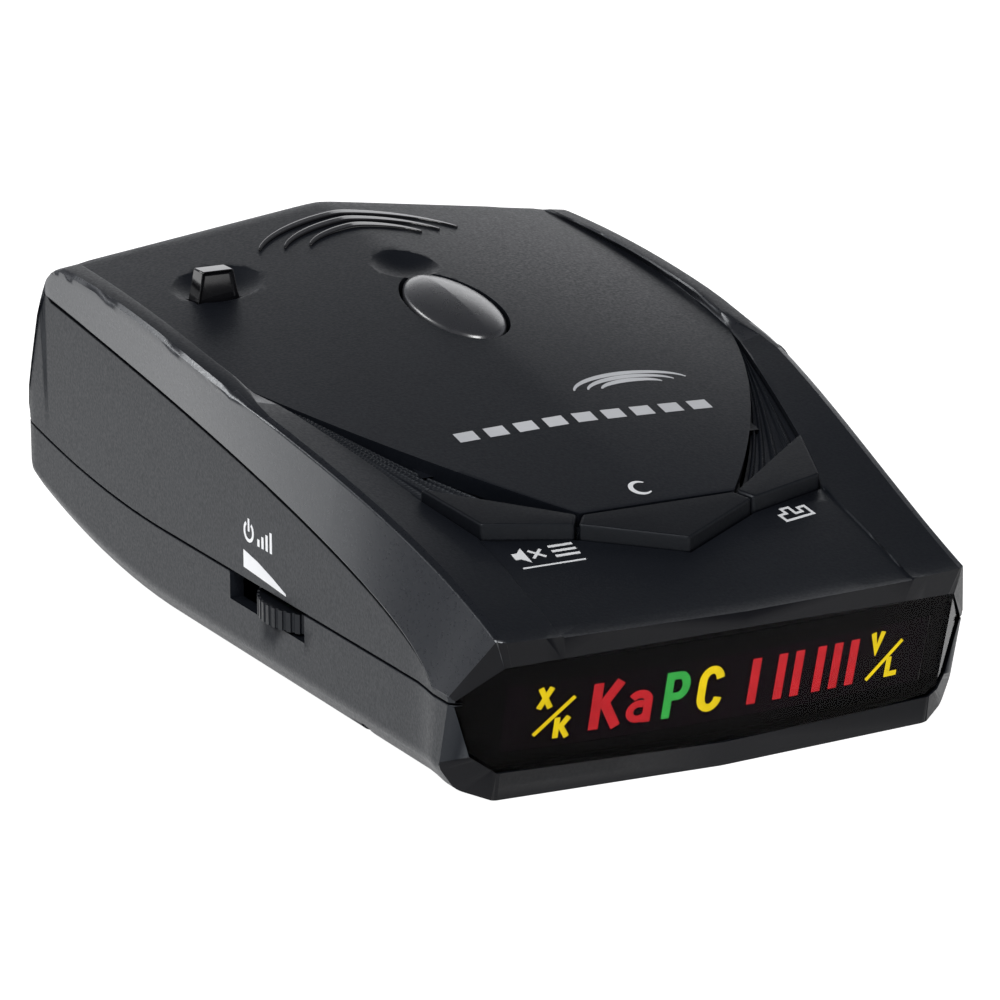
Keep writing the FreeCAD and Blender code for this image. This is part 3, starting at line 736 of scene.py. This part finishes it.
def crowned(x, y):
    """The top panel with its centre line eased into a narrow crease."""
    return panel_height(math.sqrt(x * x + 0.6) - 0.77, y)


def rib_crescent(name, side):
    """The ribbed sliver between the shield and a side button."""
    along, across = 260, 48
    arcs = [rib_arc(k / across, along) for k in range(across + 1)]
    rows = []
    for step in range(along + 1):
        row = []
        for k in range(across + 1):
            x, y = arcs[k][step]
            row.append((side * x, y, rib_floor(x, y) + rib_profile(k / across, step)))
        rows.append(row)
    piece = grid_object(name, rows)
    ensure_outward(piece)
    skirt(piece, 0.8)
    smooth(piece)
    return piece


def rib_floor(x, y):
    """The floor between the ribs, sunk below both the shield and the deck."""
    return min(crowned(x, y) - 0.95, deck_height(x, y) - 0.75)


def rib_profile(share, step):
    """Rib height over the sliver's floor, with the fine teeth that cross each rib."""
    for rib in range(4):
        first = 0.12 + 0.22 * rib
        inside = (share - first) / 0.13
        if 0.0 <= inside <= 1.0:
            crown = min(1.0, 3.2 * inside, 3.2 * (1 - inside))
            tooth = 0.16 if step % 4 < 2 else 0.0
            return crown * (0.55 - tooth)
    return 0.0


def button_cap(name, outline):
    """A key cap whose top continues the panel and whose edges are softly rounded."""
    edge = inset(outline, 0.25)
    count = len(edge)
    low = [(x, y, deck_height(x, y) - 1.0) for x, y in edge]
    high = [(x, y, panel_height(x, y)) for x, y in edge]
    centre = (sum(p[0] for p in edge) / count, sum(p[1] for p in edge) / count)
    points = low + high + [(centre[0], centre[1], panel_height(*centre)), (centre[0], centre[1], low[0][2])]
    faces = [(k, (k + 1) % count, (k + 1) % count + count, k + count) for k in range(count)]
    faces += [(k + count, (k + 1) % count + count, 2 * count) for k in range(count)]
    faces += [(k, (k + 1) % count, 2 * count + 1) for k in range(count)]
    piece = mesh_object(name, points, faces)
    modifier(piece, "BEVEL", width=0.32 * MM, segments=3, limit_method="ANGLE", angle_limit=math.radians(30))
    apply_modifiers(piece)
    smooth(piece)
    modifier(piece, "WEIGHTED_NORMAL", weight=70)
    apply_modifiers(piece)
    return piece


def lens_dome():
    """The glossy oval over the rear laser receiver."""
    rows = []
    half_x, half_y = LENS_HALF[0] - 0.1, LENS_HALF[1] - 0.1
    for ring in range(17):
        share = ring / 16
        rise = 1.5 * math.sqrt(max(0.0, 1 - (0.97 * share) ** 2)) - 0.45
        row = []
        for k in range(72):
            x = half_x * share * math.cos(2 * math.pi * k / 72)
            y = LENS_Y + half_y * share * math.sin(2 * math.pi * k / 72)
            row.append((x, y, panel_height(x, y) + rise))
        rows.append(row)
    rows.append([(x, y, 33.8) for x, y, _ in rows[-1]])
    points = [point for row in rows for point in row]
    count = len(points)
    faces = grid_faces(18, 72, closed=True) + [tuple(range(count - 72, count))]
    piece = mesh_object("rear_lens_dome", points, faces)
    smooth(piece)
    return piece


def tab_piece():
    """The thumb tab: a tapered block with a raised glossy rim round its sunk face."""
    x, y = TAB
    points = []
    for z, half, deep in ((36.5, 3.0, 1.7), (38.0, 3.0, 1.7), (42.75, 2.1, 1.45)):
        points += [(x - half, y - deep, z), (x + half, y - deep, z),
                   (x + half, y + deep, z), (x - half, y + deep, z)]
    faces = [(0, 1, 2, 3), (8, 9, 10, 11)]
    for row in range(2):
        first = row * 4
        faces += [(first + k, first + (k + 1) % 4, first + 4 + (k + 1) % 4, first + 4 + k) for k in range(4)]
    piece = mesh_object("thumb_tab", points, faces)
    work = bmesh.new()
    work.from_mesh(piece.data)
    work.faces.ensure_lookup_table()
    front = [face for face in work.faces if face.normal.y < -0.8 and face.calc_center_median().z > 0.038]
    bmesh.ops.inset_region(work, faces=front, thickness=0.55 * MM, depth=-0.5 * MM)
    work.to_mesh(piece.data)
    work.free()
    soften(piece, 0.22, angle=25.0)
    return piece


# ---- printed marks and legends ------------------------------------------------------
def ribbon(path, width, closed=False):
    """Left and right sides of a stroke along a plan path, mitred at its corners."""
    count = len(path)
    lefts, rights = [], []
    for k in range(count):
        here = Vector(path[k])
        before = Vector(path[k - 1]) if k or closed else None
        after = Vector(path[(k + 1) % count]) if k < count - 1 or closed else None
        into = (here - before).normalized() if before else (after - here).normalized()
        out = (after - here).normalized() if after else into
        normal = Vector((-into.y - out.y, into.x + out.x)).normalized()
        spread = max(0.45, normal.dot(Vector((-into.y, into.x))))
        reach = (width[k] if isinstance(width, (list, tuple)) else width) / 2 / spread
        lefts.append(tuple(here + normal * reach))
        rights.append(tuple(here - normal * reach))
    return lefts, rights


def laid(name, shapes, place, thick, across=4):
    """Strokes and filled outlines laid on a surface by place(u, v, rise)."""
    points, faces = [], []
    for kind, data, width, closed in shapes:
        if kind == "fill":
            add_fill(points, faces, data, place, thick)
            continue
        lefts, rights = ribbon(data, width, closed)
        if closed:
            lefts, rights = lefts + lefts[:1], rights + rights[:1]
        add_strip(points, faces, lefts, rights, place, thick, across)
    return mesh_object(name, points, faces)


def add_strip(points, faces, lefts, rights, place, thick, across):
    """A closed strip between two sides, as a thin solid."""
    start = len(points)
    rings = 2 * (across + 1)
    for a, b in zip(lefts, rights):
        line = [between(a, b, k / across) for k in range(across + 1)]
        points += [place(u, v, thick) for u, v in line]
        points += [place(u, v, -0.12) for u, v in reversed(line)]
    faces += grid_faces(len(lefts), rings, start, closed=True)
    faces.append(tuple(start + k for k in range(rings)))
    last = start + rings * (len(lefts) - 1)
    faces.append(tuple(last + k for k in range(rings)))


def add_fill(points, faces, outline, place, thick):
    """A filled star-shaped outline, as a thin solid with rings towards its middle."""
    count = len(outline)
    centre = (sum(p[0] for p in outline) / count, sum(p[1] for p in outline) / count)
    start = len(points)
    for rise in (-0.12, thick):
        for share in (1.0, 0.5):
            points += [place(*between(centre, p, share), rise) for p in outline]
        points.append(place(*centre, rise))
    block_size = 2 * count + 1
    for k in range(count):
        n = (k + 1) % count
        for base in (start, start + block_size):
            faces.append((base + k, base + n, base + count + n, base + count + k))
            faces.append((base + count + k, base + count + n, base + 2 * count))
        faces.append((start + k, start + n, start + block_size + n, start + block_size + k))


def stroke(path, width, closed=False):
    return ("stroke", path, width, closed)


def fill(outline):
    return ("fill", outline, 0.0, True)


def curve(centre, radius, start, end, count=20):
    """Points along an arc or oval, in degrees."""
    rx, ry = radius if isinstance(radius, tuple) else (radius, radius)
    return [(centre[0] + rx * math.cos(math.radians(start + (end - start) * k / count)),
             centre[1] + ry * math.sin(math.radians(start + (end - start) * k / count)))
            for k in range(count + 1)]


def on_surface(height, origin, turn, scale=1.0):
    """Lays a mark's (u, v) on a height function, turned about its origin."""
    c, s = math.cos(math.radians(turn)), math.sin(math.radians(turn))

    def place(u, v, rise):
        x = origin[0] + scale * (u * c - v * s)
        y = origin[1] + scale * (u * s + v * c)
        return (x, y, height(x, y) + rise)
    return place


def on_left_side(origin, scale=1.0):
    """Lays a mark on the left side panel, with u running towards the display."""
    def place(u, v, rise):
        y = origin[0] - scale * u
        return (-(side_half(y) - 0.61 + rise), y, origin[1] + scale * v)
    return place


def on_display(depth):
    """Lays a legend on a sheet behind the display face."""
    def place(u, v, rise):
        return (u, face_y(u, v) + depth - rise, v)
    return place


def glyph(letter, x, z, w, h, t):
    """Plain stroke letterforms of the builder's own, inside a w by h box."""
    r, m = x + w, z + h / 2
    left, right, low, high = x + t / 2, r - t / 2, z + t / 2, z + h - t / 2
    upright = [(left, z), (left, z + h)]
    if letter == "I":
        return [stroke([(x + w / 2, z), (x + w / 2, z + h)], t)]
    if letter == "X":
        return [stroke([(left, z), (right, z + h)], t), stroke([(left, z + h), (right, z)], t)]
    if letter == "V":
        return [stroke([(left, z + h), (x + w / 2, z + t / 3), (right, z + h)], t)]
    if letter == "L":
        return [stroke([(left, z + h), (left, low), (r, low)], t)]
    if letter == "K":
        return [stroke(upright, t), stroke([(right, z + h), (left + t / 2, m - 0.05 * h)], t),
                stroke([(left + 0.3 * w, m), (right, z)], t)]
    if letter == "P":
        middle = (right - 0.3 * w, (m + high) / 2 - 0.02 * h)
        bowl = curve(middle, (0.3 * w, (high - m) / 2 + 0.02 * h), 90, -90, 8)
        return [stroke(upright, t), stroke([(left, high)] + bowl + [(left, m - 0.04 * h)], t)]
    if letter == "C":
        top = curve((x + w / 2, high - 0.25 * h), (w / 2 - t / 2, 0.25 * h), 10, 180, 10)
        foot = curve((x + w / 2, low + 0.25 * h), (w / 2 - t / 2, 0.25 * h), 180, 350, 10)
        return [stroke(top + foot, t)]
    if letter == "a":
        top = z + 0.72 * h
        hook = curve((x + w / 2, top - t / 2 - 0.16 * h), (w / 2 - t / 2, 0.16 * h), 150, 0, 8)
        bowl = curve((x + w / 2, z + t / 2 + 0.17 * h), (w / 2 - t / 2, 0.17 * h), 60, 330, 14)
        return [stroke(hook + [(right, z)], t), stroke(bowl, t * 0.85)]
    return []


def level_bars(*places):
    return [bar for x in places for bar in glyph("I", x, 6.9, 1.2, 5.9, 1.1)]


def display_legends():
    """The lit legends, each group in its own colour and each in its own mesh."""
    groups = {
        "legend_wide": (glyph("X", -23.8, 10.55, 2.0, 2.6, 0.62) + glyph("K", -21.3, 6.5, 2.0, 2.6, 0.62)
                        + [stroke([(-23.7, 7.2), (-19.2, 11.6)], 0.42)], "amber"),
        "legend_high": (glyph("K", -17.0, 6.9, 3.9, 5.9, 1.15)
                        + glyph("a", -12.6, 6.9, 3.2, 5.9, 1.0), "red"),
        "legend_pulse": (glyph("P", -7.9, 6.9, 3.1, 5.9, 0.95), "green"),
        "legend_mode": (glyph("C", -3.6, 6.9, 3.2, 5.9, 0.95), "amber"),
        "level_one": (level_bars(3.1), "red"),
        "level_two": (level_bars(6.6, 8.9), "red"),
        "level_three": (level_bars(11.9, 14.2, 16.5), "red"),
        "legend_light": (glyph("V", 19.3, 10.55, 2.0, 2.6, 0.62) + glyph("L", 22.2, 6.9, 1.7, 2.6, 0.62)
                         + [stroke([(19.6, 7.0), (24.0, 11.5)], 0.42)], "amber"),
    }
    for name, (shapes, colour) in groups.items():
        piece = laid(name, shapes, on_display(2.04), 0.05, across=1)
        finish_piece(piece, "housing", "led_light", LIT[colour])


# ---- materials ----------------------------------------------------------------------
def new_material(name, base, rough, **sockets):
    """A node material whose principled sockets are set by name."""
    material = bpy.data.materials.new(name)
    material.use_nodes = True
    shader = material.node_tree.nodes["Principled BSDF"]
    shader.inputs["Base Color"].default_value = (*base, 1.0)
    shader.inputs["Roughness"].default_value = rough
    for key, value in sockets.items():
        shader.inputs[key.replace("_", " ")].default_value = value
    return material


def node(material, kind, **settings):
    made = material.node_tree.nodes.new(kind)
    for key, value in settings.items():
        setattr(made, key, value)
    return made


def join(material, source, target):
    material.node_tree.links.new(source, target)


def noise(material, scale, detail=3.0, roughness=0.55, stretch=None):
    """Object-space noise; the scale is in cycles per metre."""
    where = node(material, "ShaderNodeTexCoord")
    texture = node(material, "ShaderNodeTexNoise")
    texture.inputs["Scale"].default_value = scale
    texture.inputs["Detail"].default_value = detail
    texture.inputs["Roughness"].default_value = roughness
    source = where.outputs["Object"]
    if stretch:
        mapping = node(material, "ShaderNodeMapping")
        mapping.inputs["Scale"].default_value = stretch
        join(material, source, mapping.inputs["Vector"])
        source = mapping.outputs["Vector"]
    join(material, source, texture.inputs["Vector"])
    return texture.outputs["Fac"]


def ramp(material, source, low, high, start=0.35, end=0.65):
    """Turns noise into a colour or grey that runs between two values."""
    made = node(material, "ShaderNodeValToRGB")
    low = low if isinstance(low, tuple) else (low, low, low)
    high = high if isinstance(high, tuple) else (high, high, high)
    made.color_ramp.elements[0].position = start
    made.color_ramp.elements[1].position = end
    made.color_ramp.elements[0].color = (*low, 1.0)
    made.color_ramp.elements[1].color = (*high, 1.0)
    join(material, source, made.inputs["Fac"])
    return made.outputs["Color"]


def principled(material):
    return material.node_tree.nodes["Principled BSDF"]


def add_bump(material, source, distance, strength=1.0):
    bump = node(material, "ShaderNodeBump")
    bump.inputs["Distance"].default_value = distance
    bump.inputs["Strength"].default_value = strength
    join(material, source, bump.inputs["Height"])
    join(material, bump.outputs["Normal"], principled(material).inputs["Normal"])


def textured(name, low, high, rough, grain, depth, blotch=60.0, strength=0.6, **sockets):
    """Colour that drifts over the part, uneven gloss and a fine grain."""
    material = new_material(name, low, rough[0], **sockets)
    drift = noise(material, blotch, 4.0)
    join(material, ramp(material, drift, low, high), principled(material).inputs["Base Color"])
    fine = noise(material, grain, 2.0, 0.6)
    uneven = ramp(material, fine, rough[0], rough[1], 0.3, 0.7)
    join(material, uneven, principled(material).inputs["Roughness"])
    add_bump(material, fine, depth, strength)
    return material


def glowing(name, colour, strength):
    """A lit legend whose glow varies a little at random over it."""
    material = new_material(name, tuple(0.6 * c for c in colour), 0.35)
    shade = ramp(material, noise(material, 700.0, 2.0), tuple(0.82 * c for c in colour), colour)
    join(material, shade, principled(material).inputs["Emission Color"])
    principled(material).inputs["Emission Strength"].default_value = strength
    return material


def brushed(name, low, high, rough, stretch, **sockets):
    material = new_material(name, low, rough[0], **sockets)
    lines = noise(material, 900.0, 3.0, 0.6, stretch)
    join(material, ramp(material, lines, low, high), principled(material).inputs["Base Color"])
    join(material, ramp(material, lines, rough[0], rough[1]), principled(material).inputs["Roughness"])
    add_bump(material, lines, 0.00003, 0.4)
    return material


HOUSING = textured("moulded_housing", (0.0038, 0.0048, 0.0075), (0.0052, 0.0064, 0.0095), (0.38, 0.52),
                   2600.0, 0.00003, Specular_IOR_Level=0.32, Specular_Tint=(0.9, 0.95, 1.0, 1.0))
RAIL = textured("satin_rail", (0.0034, 0.0044, 0.007), (0.0048, 0.006, 0.009), (0.26, 0.36), 2600.0,
                0.00002, Specular_IOR_Level=0.9, Specular_Tint=(0.93, 0.96, 1.0, 1.0))
KEYS = textured("moulded_keys", (0.003, 0.0036, 0.0055), (0.0042, 0.005, 0.0072), (0.38, 0.5),
                2800.0, 0.000025, Specular_IOR_Level=0.3, Specular_Tint=(0.9, 0.95, 1.0, 1.0))
GLOSS = textured("polished_black", (0.004, 0.004, 0.005), (0.007, 0.007, 0.008), (0.05, 0.1), 900.0, 0.00001,
                 strength=0.2, Coat_Weight=0.25, Coat_Roughness=0.08)
LENS = textured("smoked_lens", (0.02, 0.021, 0.024), (0.028, 0.029, 0.033), (0.26, 0.32), 900.0, 0.00001,
                strength=0.2, Specular_IOR_Level=1.0, Coat_Weight=0.5, Coat_Roughness=0.22)
BEZEL = textured("bezel_black", (0.004, 0.0042, 0.0055), (0.006, 0.0062, 0.008), (0.35, 0.45),
                 2600.0, 0.00002, Specular_IOR_Level=0.12)
WINDOW = textured("smoked_window", (0.30, 0.28, 0.30), (0.34, 0.32, 0.34), (0.02, 0.04), 500.0, 0.000002,
                  strength=0.1, Transmission_Weight=1.0, IOR=1.1)
MASK = textured("window_mask", (0.0004, 0.0004, 0.0005), (0.0008, 0.0008, 0.001), (0.6, 0.7), 1200.0, 0.00001,
                Specular_IOR_Level=0.1)
FILM = textured("maroon_film", (0.012, 0.001, 0.008), (0.018, 0.002, 0.012), (0.55, 0.7), 1500.0, 0.00001,
                Specular_IOR_Level=0.15)
WHITE = textured("white_plastic", (0.68, 0.68, 0.65), (0.76, 0.76, 0.74), (0.4, 0.5), 1800.0, 0.00002)
LED = textured("led_resin", (0.75, 0.72, 0.66), (0.85, 0.8, 0.72), (0.15, 0.25), 1200.0, 0.00001)
BOARD = textured("solder_mask", (0.012, 0.09, 0.035), (0.02, 0.13, 0.05), (0.25, 0.4), 1400.0, 0.00004, 220.0)
CHIP = textured("black_component", (0.018, 0.018, 0.019), (0.03, 0.03, 0.03), (0.45, 0.6), 2200.0, 0.00003)
JACK = textured("jack_plastic", (0.008, 0.008, 0.01), (0.013, 0.013, 0.015), (0.25, 0.35), 1600.0, 0.00002)
CAST = textured("cast_alloy", (0.42, 0.43, 0.45), (0.56, 0.57, 0.58), (0.35, 0.5),
                1500.0, 0.0001, 140.0, Metallic=1.0)
STEEL = brushed("plated_steel", (0.5, 0.5, 0.5), (0.66, 0.66, 0.65), (0.18, 0.32),
                (1.0, 1.0, 6.0), Metallic=1.0)
SLEEVE = textured("capacitor_sleeve", (0.012, 0.018, 0.05), (0.018, 0.026, 0.07), (0.25, 0.35),
                  900.0, 0.00002)
FOAM = textured("foam_gasket", (0.02, 0.02, 0.02), (0.045, 0.045, 0.045), (0.8, 0.95), 1500.0, 0.0002)
PULP = textured("cone_paper", (0.025, 0.024, 0.023), (0.05, 0.048, 0.045), (0.7, 0.85), 1100.0, 0.0001)
LABEL = textured("label_satin", (0.42, 0.42, 0.43), (0.5, 0.5, 0.51), (0.3, 0.4), 1600.0, 0.00001)
PRINT = textured("silver_print", (0.52, 0.53, 0.55), (0.6, 0.61, 0.63), (0.4, 0.5), 1800.0, 0.00001)
BRIGHT_PRINT = textured("white_print", (0.75, 0.76, 0.78), (0.85, 0.86, 0.87), (0.45, 0.55), 1800.0, 0.00001)
LIT = {"red": glowing("lit_red", (0.62, 0.02, 0.025), 2.4),
       "amber": glowing("lit_amber", (1.0, 0.8, 0.005), 2.4),
       "green": glowing("lit_green", (0.045, 0.5, 0.075), 2.4)}
NODE_FINISH = {
    "housing_plastic": HOUSING, "button_plastic": KEYS, "gloss_black_plastic": GLOSS, "smoked_window": WINDOW,
    "display_film": FILM, "white_plastic": WHITE, "led_light": LED, "circuit_board": BOARD,
    "black_component": CHIP, "jack_plastic": JACK, "cast_metal": CAST, "bright_steel": STEEL,
    "capacitor_sleeve": SLEEVE, "foam_gasket": FOAM, "cone_paper": PULP, "label_paper": LABEL}


def dress(piece, material):
    piece.data.materials.clear()
    piece.data.materials.append(material)


def dress_bezel(piece):
    """Gives the faces round the window and along the rails' bevels their own smoother finishes."""
    piece.data.materials.append(BEZEL)
    piece.data.materials.append(RAIL)
    for face in piece.data.polygons:
        y = face.center.y / MM - ORIGIN_Y
        if y < 9.0 and (face.normal.y < -0.75 or (face.normal.y < -0.3 and face.center.z < 5.0 * MM)):
            face.material_index = 1
        elif face.center.z > (dark_line(y) - 0.02) * MM and (
                abs(face.center.x) > (crest_half(y) - 0.7) * MM
                or (abs(face.normal.x) > 0.3 and abs(face.center.x) > 29.5 * MM)):
            face.material_index = 2


def finish_piece(piece, body, slot, material, *stands_for):
    dress(piece, material)
    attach(piece, body)
    if stands_for:
        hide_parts(*stands_for)


# ---- the whole object ---------------------------------------------------------------
def dress_nodes():
    for part in frame["record"]["subparts"]:
        dress(frame["nodes"][part["node"]], NODE_FINISH[part["material_slot"]])


def window_mask():
    """The black border printed inside the window round the film."""
    rim = [(-32.6, 12.1), (-32.6, 12.7), (-29.0, 16.6), (29.0, 16.6), (32.6, 12.7), (32.6, 12.1),
           (32.6, 7.1), (28.2, 3.9), (-28.2, 3.9), (-32.6, 7.1)]
    hole = [(-27.6, 12.1), (-27.6, 12.7), (-27.6, 14.0), (27.6, 14.0), (27.6, 12.7), (27.6, 12.1),
            (27.6, 7.1), (27.6, 5.5), (-27.6, 5.5), (-27.6, 7.1)]
    steps = 24
    rows = [[], []]
    for k in range(len(rim)):
        n = (k + 1) % len(rim)
        for step in range(steps):
            rows[0].append(between(rim[k], rim[n], step / steps))
            rows[1].append(between(hole[k], hole[n], step / steps))
    points = []
    for depth in (1.93, 2.02):
        for row in rows:
            points += [(x, face_y(x, z) + depth, z) for x, z in row]
    count = len(rows[0])
    faces = []
    for k in range(count):
        n = (k + 1) % count
        for a, b in ((0, 1), (2, 3), (0, 2), (1, 3)):
            faces.append((a * count + k, a * count + n, b * count + n, b * count + k))
    return mesh_object("window_mask", points, faces)


def build_housing():
    for made, node_name in ((top_shell(), "top_housing"), (bottom_shell(), "bottom_housing")):
        finish_piece(made, "housing", "housing_plastic", HOUSING, node_name)
        dress_bezel(made)
    finish_piece(shield_panel(), "housing", "housing_plastic", HOUSING, "top_housing")
    for side, name in ((-1, "ribs_left"), (1, "ribs_right")):
        finish_piece(rib_crescent(name, side), "housing", "housing_plastic", HOUSING, "top_housing")
    finish_piece(end_ledge(), "housing", "housing_plastic", HOUSING, "bottom_housing")
    finish_piece(window_mask(), "housing", "display_film", MASK)
    finish_piece(lens_dome(), "housing", "gloss_black_plastic", LENS, "rear_laser_lens")


def build_controls():
    for name, outline in BUTTONS.items():
        cap = button_cap(name + "_cap", outline)
        finish_piece(cap, name + "_key", "button_plastic", KEYS, name + "_button")
    finish_piece(tab_piece(), "release_key", "gloss_black_plastic", GLOSS, "release_tab")


def build_marks():
    """Printed and moulded marks: plain pictograms and a wave of the builder's own."""
    wedge = [(-0.6, -0.3), (-0.6, 1.9), (3.2, 1.3), (7.2, 0.3), (10.6, -0.7), (10.6, -0.95), (5.0, -0.6)]
    power = [stroke(curve((0.9, 4.5), 1.15, 125, 415, 20), 0.42), stroke([(0.9, 4.5), (0.9, 6.1)], 0.42)]
    bars = [stroke([(3.5 + 1.1 * k, 3.3), (3.5 + 1.1 * k, 4.2 + 0.55 * k)], 0.55) for k in range(4)]
    add_mark("volume_mark", [fill(wedge)] + power + bars, on_left_side((57.2, 13.9)), BRIGHT_PRINT)

    mute = [fill([(0.0, 0.9), (0.0, 2.1), (0.7, 2.1), (1.6, 3.0), (1.6, 0.0), (0.7, 0.9)]),
            stroke([(2.2, 0.7), (3.8, 2.3)], 0.36), stroke([(2.2, 2.3), (3.8, 0.7)], 0.36)]
    lines = [stroke([(4.9, 0.5 + k), (8.0, 0.5 + k)], 0.4) for k in range(3)]
    below = [stroke([(0.0, -0.9), (8.0, -0.9)], 0.24)]
    add_mark("quiet_mark", mute + lines + below, on_surface(deck_low, (-20.6, 13.6), 0.0), BRIGHT_PRINT)

    crescent = [stroke(curve((0.0, 0.0), 1.25, 50, 310, 24), tapered(25, 0.62))]
    add_mark("dark_mark", crescent, on_surface(panel_height, (-0.4, 21.8), 0.0), BRIGHT_PRINT)

    roofs = [(0.0, 0.0), (0.0, 1.3), (1.0, 1.3), (1.0, 2.3), (2.1, 2.3),
             (2.1, 0.9), (3.1, 0.9), (3.1, 1.8), (4.1, 1.8), (4.1, 0.0)]
    add_mark("city_mark", [stroke(roofs, 0.36, True)], on_surface(deck_low, (14.6, 13.9), 10.0), BRIGHT_PRINT)

    place = on_surface(crowned, (11.0, 45.3), 4.0)
    wave = [stroke(curve((0.0, -1.0), (8.2 - 1.9 * k, 3.4 - 0.95 * k), 12, 168, 40), tapered(41, 0.85))
            for k in range(3)]
    add_mark("printed_waves", wave, place, PRINT)
    add_mark("printed_bar", dashes(-16.0, 18.0, 38.2), on_surface(crowned, (0.0, 0.0), 0.0), PRINT)

    place = on_surface(crowned, (0.0, 98.4), 0.0)
    arcs = [stroke(curve((0.0, -5.5), (15.5 - 3.4 * k, 10.8 - 2.6 * k), 24, 156, 48), tapered(49, 1.5))
            for k in range(3)]
    piece = laid("raised_waves", arcs, place, 0.3)
    soften(piece, 0.12)
    finish_piece(piece, "housing", "housing_plastic", GLOSS)


def deck_low(x, y):
    return deck_height(x, y) - (STEP if abs(x) < CREASE else 0.0)


def tapered(count, width):
    """Stroke widths that are full in the middle and narrow to the ends."""
    return [width * (0.25 + 0.75 * math.sin(math.pi * k / (count - 1))) for k in range(count)]


def dashes(start, end, y):
    """A row of plain bars, as wide as the printed line that they stand for."""
    count, length = 9, 2.6
    step = (end - start - length) / (count - 1)
    return [stroke([(start + step * k, y), (start + step * k + length, y)], 2.1) for k in range(count)]


def add_mark(name, shapes, place, material):
    piece = laid(name, shapes, place, 0.03)
    finish_piece(piece, "housing", "label_paper", material)


def studio():
    scene = bpy.context.scene
    scene.view_settings.view_transform = "Standard"
    scene.view_settings.look = "None"
    world = bpy.data.worlds.new("studio")
    world.use_nodes = True
    scene.world = world
    tree = world.node_tree
    where = tree.nodes.new("ShaderNodeTexCoord")
    split = tree.nodes.new("ShaderNodeSeparateXYZ")
    shade = tree.nodes.new("ShaderNodeValToRGB")
    tree.links.new(where.outputs["Generated"], split.inputs["Vector"])
    tree.links.new(split.outputs["Z"], shade.inputs["Fac"])
    stops = ((0.0, 0.14), (0.1, 0.26), (0.3, 0.36), (0.5, 0.16), (0.75, 0.09), (1.0, 0.08))
    elements = shade.color_ramp.elements
    elements[0].position, elements[1].position = stops[0][0], stops[-1][0]
    for position, value in stops[1:-1]:
        elements.new(position)
    for element, (position, value) in zip(elements, stops):
        element.color = (value * 0.96, value * 0.98, value * 1.06, 1.0)
    tree.links.new(shade.outputs["Color"], tree.nodes["Background"].inputs["Color"])
    tree.nodes["Background"].inputs["Strength"].default_value = 1.0
    floor = grid_floor()
    lamp("far_softbox", (0.45, 0.8, 0.3), (0.7, 0.35), 0.8, (0.0, 0.05, 0.04))
    lamp("rim_softbox", (-0.5, 0.62, 0.5), (0.3, 0.2), 1.5, (0.0, 0.0, 0.03))
    lamp("key_softbox", (-0.35, -0.45, 0.62), (0.3, 0.3), 4.6, (0.0, 0.0, 0.02))


def grid_floor():
    """A wide pale floor, divided into an eight by eight grid."""
    size, count = 6.0, 8
    steps = [size * (k / count - 0.5) / MM for k in range(count + 1)]
    rows = [[(x, y - ORIGIN_Y, -0.15) for x in steps] for y in steps]
    floor = grid_object("floor", rows)
    material = new_material("pale_floor", (0.4, 0.4, 0.4), 0.9,
                            Emission_Color=(1.0, 1.0, 1.0, 1.0), Emission_Strength=1.0)
    dress(floor, material)
    return floor


def lamp(name, place, size, power, target):
    data = bpy.data.lights.new(name, "AREA")
    data.shape = "RECTANGLE"
    data.size, data.size_y = size
    data.energy = power
    lamp_object = bpy.data.objects.new(name, data)
    bpy.context.scene.collection.objects.link(lamp_object)
    lamp_object.location = place
    lamp_object.rotation_euler = (Vector(target) - Vector(place)).to_track_quat("-Z", "Y").to_euler()


def camera():
    data = bpy.data.cameras.new("camera")
    data.sensor_width = 36.0
    data.lens = 162.0
    data.clip_start = 0.01
    view = bpy.data.objects.new("camera", data)
    bpy.context.scene.collection.objects.link(view)
    swing, drop = math.radians(27.494), math.radians(16.647)
    along = Vector((math.sin(swing) * math.cos(drop), math.cos(swing) * math.cos(drop), -math.sin(drop)))
    aim = Vector((-0.03017, -0.06125, 0.03663))
    view.location = aim - along * 0.48668
    view.rotation_euler = along.to_track_quat("-Z", "Y").to_euler()
    bpy.context.scene.camera = view


camera()
studio()
dress_nodes()
build_housing()
build_controls()
add_spring()
display_legends()
build_marks()
